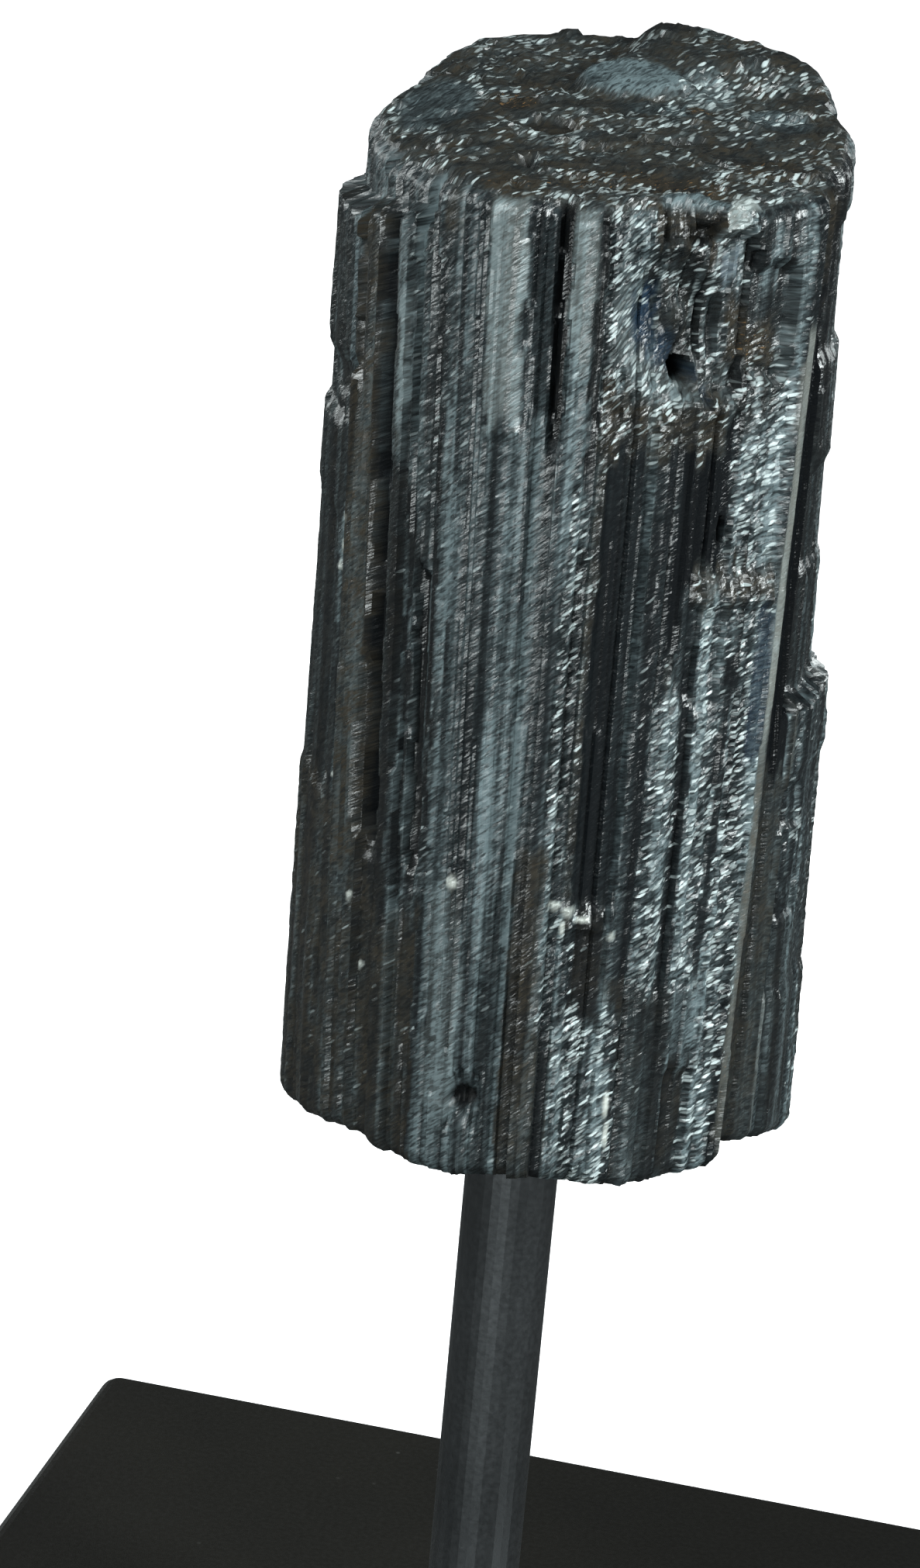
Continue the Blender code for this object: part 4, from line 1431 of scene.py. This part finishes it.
@dataclass(frozen=True)
class TourmalineFinish:
    """Black tourmaline: glossy black, a blue-grey film, brown stain and slanted small fracture faces.

    The film also stands for the painted sheen of lit facets, and the glint colour for painted glints. The
    cell sizes are cells in each mm along the grain's two ways. A span carries a pattern's values from its
    first two numbers to its last two.
    """

    effects: SharedEffects
    black: Colour = (0.0032, 0.0040, 0.0048, 1.0)
    film: Colour = (0.092, 0.122, 0.130, 1.0)
    brown: Colour = (0.0265, 0.0222, 0.0158, 1.0)
    rust: Colour = (0.14, 0.080, 0.034, 1.0)
    blue: Colour = (0.015, 0.034, 0.062, 1.0)
    painted_glint: Colour = (0.42, 0.48, 0.48, 1.0)
    pale: Colour = (0.48, 0.50, 0.46, 1.0)
    rough: float = 0.42
    glossy: float = 0.25
    polish_gain: float = 0.08
    index: float = 1.64
    specular: float = 0.37
    upright_cells: Triple = (1.0, 0.03, 1.0)
    slanted_cells: Triple = (1.25, 3.3, 1.0)
    fine_cells: Triple = (1.8, 5.2, 1.0)
    coarse_tilt: Pair = (0.8, 0.03)
    fine_tilt: Pair = (0.45, 0.1)
    streak_scale: float = 2.2
    streak_span: Span = (0.32, 0.68, 0.5, 1.5)
    band_scale: float = 0.5
    band_span: Span = (0.35, 0.65, 0.25, 1.75)
    stroke_scale: float = 1.5
    stroke_span: Span = (0.3, 0.7, 0.3, 1.7)
    grit_span: Span = (0.0, 1.0, 0.4, 1.6)
    blotch_scale: float = 0.5
    blotch_span: Span = (0.35, 0.65, 0.3, 1.0)
    rust_span: Span = (0.58, 0.68, 0.0, 1.0)
    shade_span: Span = (0.0, 1.0, 0.3, 1.0)
    dash_floor: float = 0.55
    dash_least: float = 0.25
    even_film_and_sheen: float = 0.9
    painted_glint_share: float = 0.5
    painted_glint_edge: float = 8.0
    striation_depth: float = 0.00005

    def material(self, name: str) -> bpy.types.Material:
        """Makes the material.

        Upright streaks are noise drawn out along the crystal, slanted strokes noise drawn out along the
        slant. Both vary the film with its painted sheen, and lift the surface. Cells drawn out along the
        slant
        are the small fracture faces: each faces its own way, and the share of them that takes a painted glint
        colour grows with the sparkle.

        Args:
            name: the material's name.

        Returns:
            The material.
        """
        material, wiring, sockets = new_material(name, self.rough, 0.0, self.index)
        wiring.feed(sockets["Specular IOR Level"], self.specular)
        value = {attribute: wiring.attribute(attribute) for attribute in Attribute}
        place, level, spark = value[Attribute.PLACE], value[Attribute.TOP], value[Attribute.SPARK]
        grain = wiring.group(self.effects.grain, {"Place": place, "Level": level})
        upright = wiring.vector("MULTIPLY", grain["Flat"], self.upright_cells)
        slanted = wiring.vector("MULTIPLY", grain["Slanted"], self.slanted_cells)
        small = wiring.vector("MULTIPLY", grain["Slanted"], self.fine_cells)
        stroke = wiring.noise(slanted, self.stroke_scale, 3.0)
        normal = wiring.add("ShaderNodeNewGeometry").outputs["Normal"]
        more_spark = wiring.times(spark, spark)
        fine = self.faces(wiring, small, spark, self.fine_tilt, normal)
        glint = self.faces(wiring, slanted, more_spark, self.coarse_tilt, fine["Normal"])

        streaks = wiring.range(wiring.noise(upright, self.streak_scale), *self.streak_span)
        bands = wiring.range(wiring.noise(upright, self.band_scale, 1.0), *self.band_span)
        columns = wiring.mix(level, wiring.times(streaks, bands), 1.0)
        strokes = wiring.range(stroke, *self.stroke_span)
        grit = wiring.range(fine["Tone"], *self.grit_span)
        dashes = wiring.plus(wiring.times(glint["Dash"], glint["Shade"]), self.dash_floor)
        dashes = wiring.mix(wiring.plus(spark, self.dash_least), self.even_film_and_sheen, dashes)
        # This mask paints the blue-grey film and the painted sheen of lit facets into the colour.
        film = wiring.times(value[Attribute.FILM], dashes, columns, strokes, grit)
        blotch = wiring.range(wiring.noise(place, self.blotch_scale, 3.0), *self.blotch_span)
        stain = wiring.times(value[Attribute.BROWN], blotch, grit)
        rusty = wiring.range(wiring.times(value[Attribute.BROWN], stroke), *self.rust_span)
        # Painted glints: cells whose tone passes a threshold, lower where the sparkle is high, take the glint
        # colour in their middles.
        threshold = wiring.minus(1.0, wiring.times(more_spark, self.painted_glint_share))
        past = wiring.times(wiring.minus(glint["Tone"], threshold), self.painted_glint_edge)
        chosen = wiring.range(past, 0.0, 1.0)
        bright = wiring.times(chosen, glint["Dash"], wiring.range(glint["Shade"], *self.shade_span))
        layers = (
            (film, self.film), (stain, self.brown), (rusty, self.rust),
            (wiring.times(value[Attribute.BLUE], strokes), self.blue),
            # pale is cream mineral, and on the bright lit facets a little painted highlight.
            (bright, self.painted_glint), (value[Attribute.PALE], self.pale),
        )
        colour = self.black
        for cover, tint in layers:
            colour = wiring.blend(cover, colour, tint)
        wiring.feed(sockets["Base Color"], colour)
        gloss = wiring.range(film, 0.0, 0.6, self.glossy, self.rough)
        polish = wiring.times(value[Attribute.POLISH], self.polish_gain)
        wiring.feed(sockets["Roughness"], wiring.minus(gloss, polish))
        lines = wiring.plus(wiring.times(columns, 0.4), stroke)
        wiring.feed(sockets["Normal"], wiring.bump(lines, self.striation_depth, glint["Normal"]))
        return material

    def faces(self, wiring: Wiring, place: object, spark: object, tilt: Pair, normal: object) -> object:
        """Fracture faces of one size, pushed over by the first tilt times the sparkle plus the second tilt.

        Args:
            wiring: the material's wiring.
            place: the flat place in cells.
            spark: how much sparkle there is, 0 to 1.
            tilt: the two tilts.
            normal: the normal that the faces push.

        Returns:
            The outputs of the shared glint.
        """
        strength = wiring.plus(wiring.times(spark, tilt[0]), tilt[1])
        return wiring.group(self.effects.glint, {"Place": place, "Strength": strength, "Normal": normal})


@dataclass(frozen=True)
class MetalFinish:
    """Metal under a powder coat or a plating: a broad cloud, fine marks and a little dust.

    Attributes:
        effects: the shared node groups.
        colour: the mean colour.
        roughness: the mean roughness.
        metallic: 1 where it mirrors as metal does, 0 as paint does.
        cloud: how far the cloud lightens and darkens the colour, as a share.
        stretch: how the marks are squeezed along the three axes.
        marks_per_mm: how fine they are.
        marks_depth: their height in metres.
        gloss_spread: how far they change the roughness, down and up.
        dust_colour: colour of the specks.
        dust_spacing: mm between them.
        dust: how much of the colour they take.
    """

    effects: SharedEffects
    colour: Colour
    roughness: float
    metallic: float = 0.0
    cloud: float = 0.15
    stretch: Triple = (1.0, 1.0, 1.0)
    marks_per_mm: float = 2.0
    marks_depth: float = 0.00001
    gloss_spread: Pair = (-0.04, 0.04)
    dust_colour: Colour = (0.05, 0.05, 0.046, 1.0)
    dust_spacing: float = 4.0
    dust: float = 0.6

    def material(self, name: str) -> bpy.types.Material:
        """Makes the material: cloud and marks from noise on Object coordinates, dust from shared specks.

        Args:
            name: the material's name.

        Returns:
            The material.
        """
        material, wiring, sockets = new_material(name, self.roughness, self.metallic, 1.5)
        place = wiring.scaled(wiring.add("ShaderNodeTexCoord").outputs["Object"], 1.0 / MM)
        marks = wiring.noise(wiring.vector("MULTIPLY", place, self.stretch), self.marks_per_mm)
        cloud = wiring.range(wiring.noise(place, 0.05, 3.0), 0.35, 0.65)
        factors = (1 - self.cloud, 1 + self.cloud)
        dark, light = ((*(factor * value for value in self.colour[:3]), 1.0) for factor in factors)
        inputs = {"Place": place, "Spacing": self.dust_spacing, "Amount": self.dust}
        dust = wiring.group(self.effects.dust, inputs)["Mask"]
        colour = wiring.blend(dust, wiring.blend(cloud, dark, light), self.dust_colour)
        wiring.feed(sockets["Base Color"], colour)
        low, high = (self.roughness + change for change in self.gloss_spread)
        wiring.feed(sockets["Roughness"], wiring.range(marks, 0.3, 0.7, low, high))
        wiring.feed(sockets["Normal"], wiring.bump(marks, self.marks_depth))
        return material


@dataclass
class Stand:
    """The square plate, the rod and the screw that holds them, which stay as the solids make them."""

    plate_colour: Colour = (0.0056, 0.0050, 0.0036, 1.0)
    rod_colour: Colour = (0.12, 0.127, 0.132, 1.0)
    zinc_colour: Colour = (0.55, 0.57, 0.6, 1.0)
    zinc_dust: Colour = (0.2, 0.2, 0.19, 1.0)

    def dress(self, effects: SharedEffects) -> None:
        """Gives each node its finish. The screw's marks are squeezed flat, so that they ring it.

        Args:
            effects: the shared node groups.
        """
        plate = MetalFinish(effects, self.plate_colour, 0.5)
        rod = MetalFinish(effects, self.rod_colour, 0.4, 1.0, dust=0.3, dust_spacing=3.0)
        zinc = MetalFinish(
            effects, self.zinc_colour, 0.3, 1.0, cloud=0.0, stretch=(0.2, 0.2, 6.0), marks_per_mm=1.5,
            marks_depth=0.000008, gloss_spread=(-0.06, 0.08), dust_colour=self.zinc_dust, dust_spacing=2.0,
            dust=0.5,
        )
        finishes = {
            "base_plate": plate.material("plate_powder_coat"),
            "rod": rod.material("rod_powder_coat"),
            "screw": zinc.material("zinc_plated_screw"),
        }
        for node, material in finishes.items():
            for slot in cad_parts[node].material_slots:
                slot.material = material
            log.info("%s dressed with %s", node, material.name)


@dataclass(frozen=True)
class Softbox:
    """A soft rectangular light aimed at the crystal.

    Attributes:
        azimuth: degrees round the object, 0 at the front and growing to the right.
        elevation: degrees above the floor.
        distance: metres from the crystal's middle.
        width: metres.
        height: metres.
        radiance: brightness of its face.
    """

    azimuth: float
    elevation: float
    distance: float
    width: float
    height: float
    radiance: float


class StudioLight(Enum):
    """The studio's softboxes."""

    FRONT = Softbox(-3.0, 6.0, 0.9, 0.40, 0.26, 17.0)
    KEY = Softbox(-30.0, 48.0, 0.9, 0.36, 0.36, 18.0)
    RIGHT = Softbox(75.0, 24.0, 0.8, 0.26, 0.40, 33.0)
    LEFT = Softbox(-85.0, 15.0, 0.9, 0.2, 0.4, 12.0)
    BACK_RIGHT = Softbox(142.0, 10.0, 0.9, 0.3, 0.3, 4.5)
    BACK_LEFT = Softbox(236.0, 10.0, 0.9, 0.3, 0.3, 4.0)


@dataclass
class Studio:
    """Camera at the photograph's viewing angle, pale floor, pale surroundings and soft lights."""

    lens: float = 92.58
    camera_place: Triple = (0.058750, -0.312694, 0.20072)
    camera_right: Triple = (0.96862706, 0.23407053, 0.0835021)
    camera_down: Triple = (0.15218163, -0.29302392, -0.94391617)
    camera_forward: Triple = (-0.19647485, 0.92701023, -0.31945213)
    aim: Triple = (0.0, 0.0, 0.105)
    floor_size: float = 60.0
    floor_colour: Colour = (0.8, 0.8, 0.8, 1.0)
    floor_mirrored: Colour = (0.06, 0.06, 0.06, 1.0)
    surround: Colour = (0.035, 0.039, 0.042, 1.0)
    white: Colour = (1.0, 1.0, 1.0, 1.0)
    light_colour: Triple = (0.93, 1.0, 1.0)

    def build(self) -> None:
        """Makes everything round the object."""
        self.make_camera()
        self.make_floor()
        self.make_world()
        for light in StudioLight:
            self.make_light(light.name.lower(), light.value)
        bpy.context.scene.view_settings.view_transform = "Standard"

    def make_camera(self) -> None:
        """Sets the camera by its place and its three axes."""
        data = bpy.data.cameras.new("camera")
        data.lens = self.lens
        data.clip_start = 0.01
        camera = bpy.data.objects.new("camera", data)
        axes = (Vector(self.camera_right), -Vector(self.camera_down), -Vector(self.camera_forward))
        camera.matrix_world = Matrix.Translation(self.camera_place) @ Matrix(axes).transposed().to_4x4()
        bpy.context.scene.collection.objects.link(camera)
        bpy.context.scene.camera = camera

    def make_floor(self) -> None:
        """A pale sheet under the object, white to the camera and dark to the object's reflections."""
        half = self.floor_size / 2
        corners = np.array([(-half, -half, 0), (half, -half, 0), (half, half, 0), (-half, half, 0)])
        floor = mesh_piece("floor", corners, np.arange(4), np.array([4]))
        material, wiring, sockets = new_material("pale_floor", 0.9, 0.0, 1.3)
        wiring.feed(sockets["Base Color"], self.floor_colour)
        wiring.feed(sockets["Emission Color"], self.white)
        wiring.feed(sockets["Emission Strength"], 1.0)
        nodes = material.node_tree.nodes
        seen = wiring.add("ShaderNodeLightPath").outputs["Is Camera Ray"]
        dim = wiring.add("ShaderNodeBsdfDiffuse", {"Color": self.floor_mirrored}).outputs[0]
        pale = nodes["Principled BSDF"].outputs[0]
        mixed = wiring.add("ShaderNodeMixShader", {0: seen, 1: dim, 2: pale}).outputs[0]
        wiring.feed(nodes["Material Output"].inputs[0], mixed)
        floor.data.materials.append(material)

    def make_world(self) -> None:
        """White to the camera, a dim cool grey to the object's reflections."""
        world = bpy.data.worlds.new("studio")
        world.use_nodes = True
        wiring = Wiring(world.node_tree)
        ground = world.node_tree.nodes["Background"]
        seen = wiring.add("ShaderNodeLightPath").outputs["Is Camera Ray"]
        wiring.feed(ground.inputs["Color"], wiring.blend(seen, self.surround, self.white))
        bpy.context.scene.world = world

    def make_light(self, name: str, box: Softbox) -> None:
        """Hangs one softbox, facing the crystal. Its power is radiance times pi times its area.

        Args:
            name: the light's name.
            box: the softbox.
        """
        data = bpy.data.lights.new(name, "AREA")
        data.shape = "RECTANGLE"
        data.size, data.size_y = box.width, box.height
        data.color = self.light_colour
        data.energy = box.radiance * math.pi * box.width * box.height
        azimuth, elevation = math.radians(box.azimuth), math.radians(box.elevation)
        level = math.cos(elevation)
        away = Vector((math.sin(azimuth) * level, -math.cos(azimuth) * level, math.sin(elevation)))
        light = bpy.data.objects.new(name, data)
        place = Matrix.Translation(Vector(self.aim) + away * box.distance)
        light.matrix_world = place @ away.to_track_quat("Z", "Y").to_matrix().to_4x4()
        light.visible_camera = False
        bpy.context.scene.collection.objects.link(light)


def main() -> None:
    """Builds the studio, the stand's finishes and the crystal, in this order."""
    logging.basicConfig(level=logging.INFO, format="%(name)s: %(message)s")
    Studio().build()
    effects = SharedEffects()
    Stand().dress(effects)
    crystal = Crystal()
    prism = crystal.build()
    crystal.dress(prism, TourmalineFinish(effects))
    log.info("%s built with %d faces", prism.name, len(prism.data.polygons))


if __name__ == "__main__":
    main()
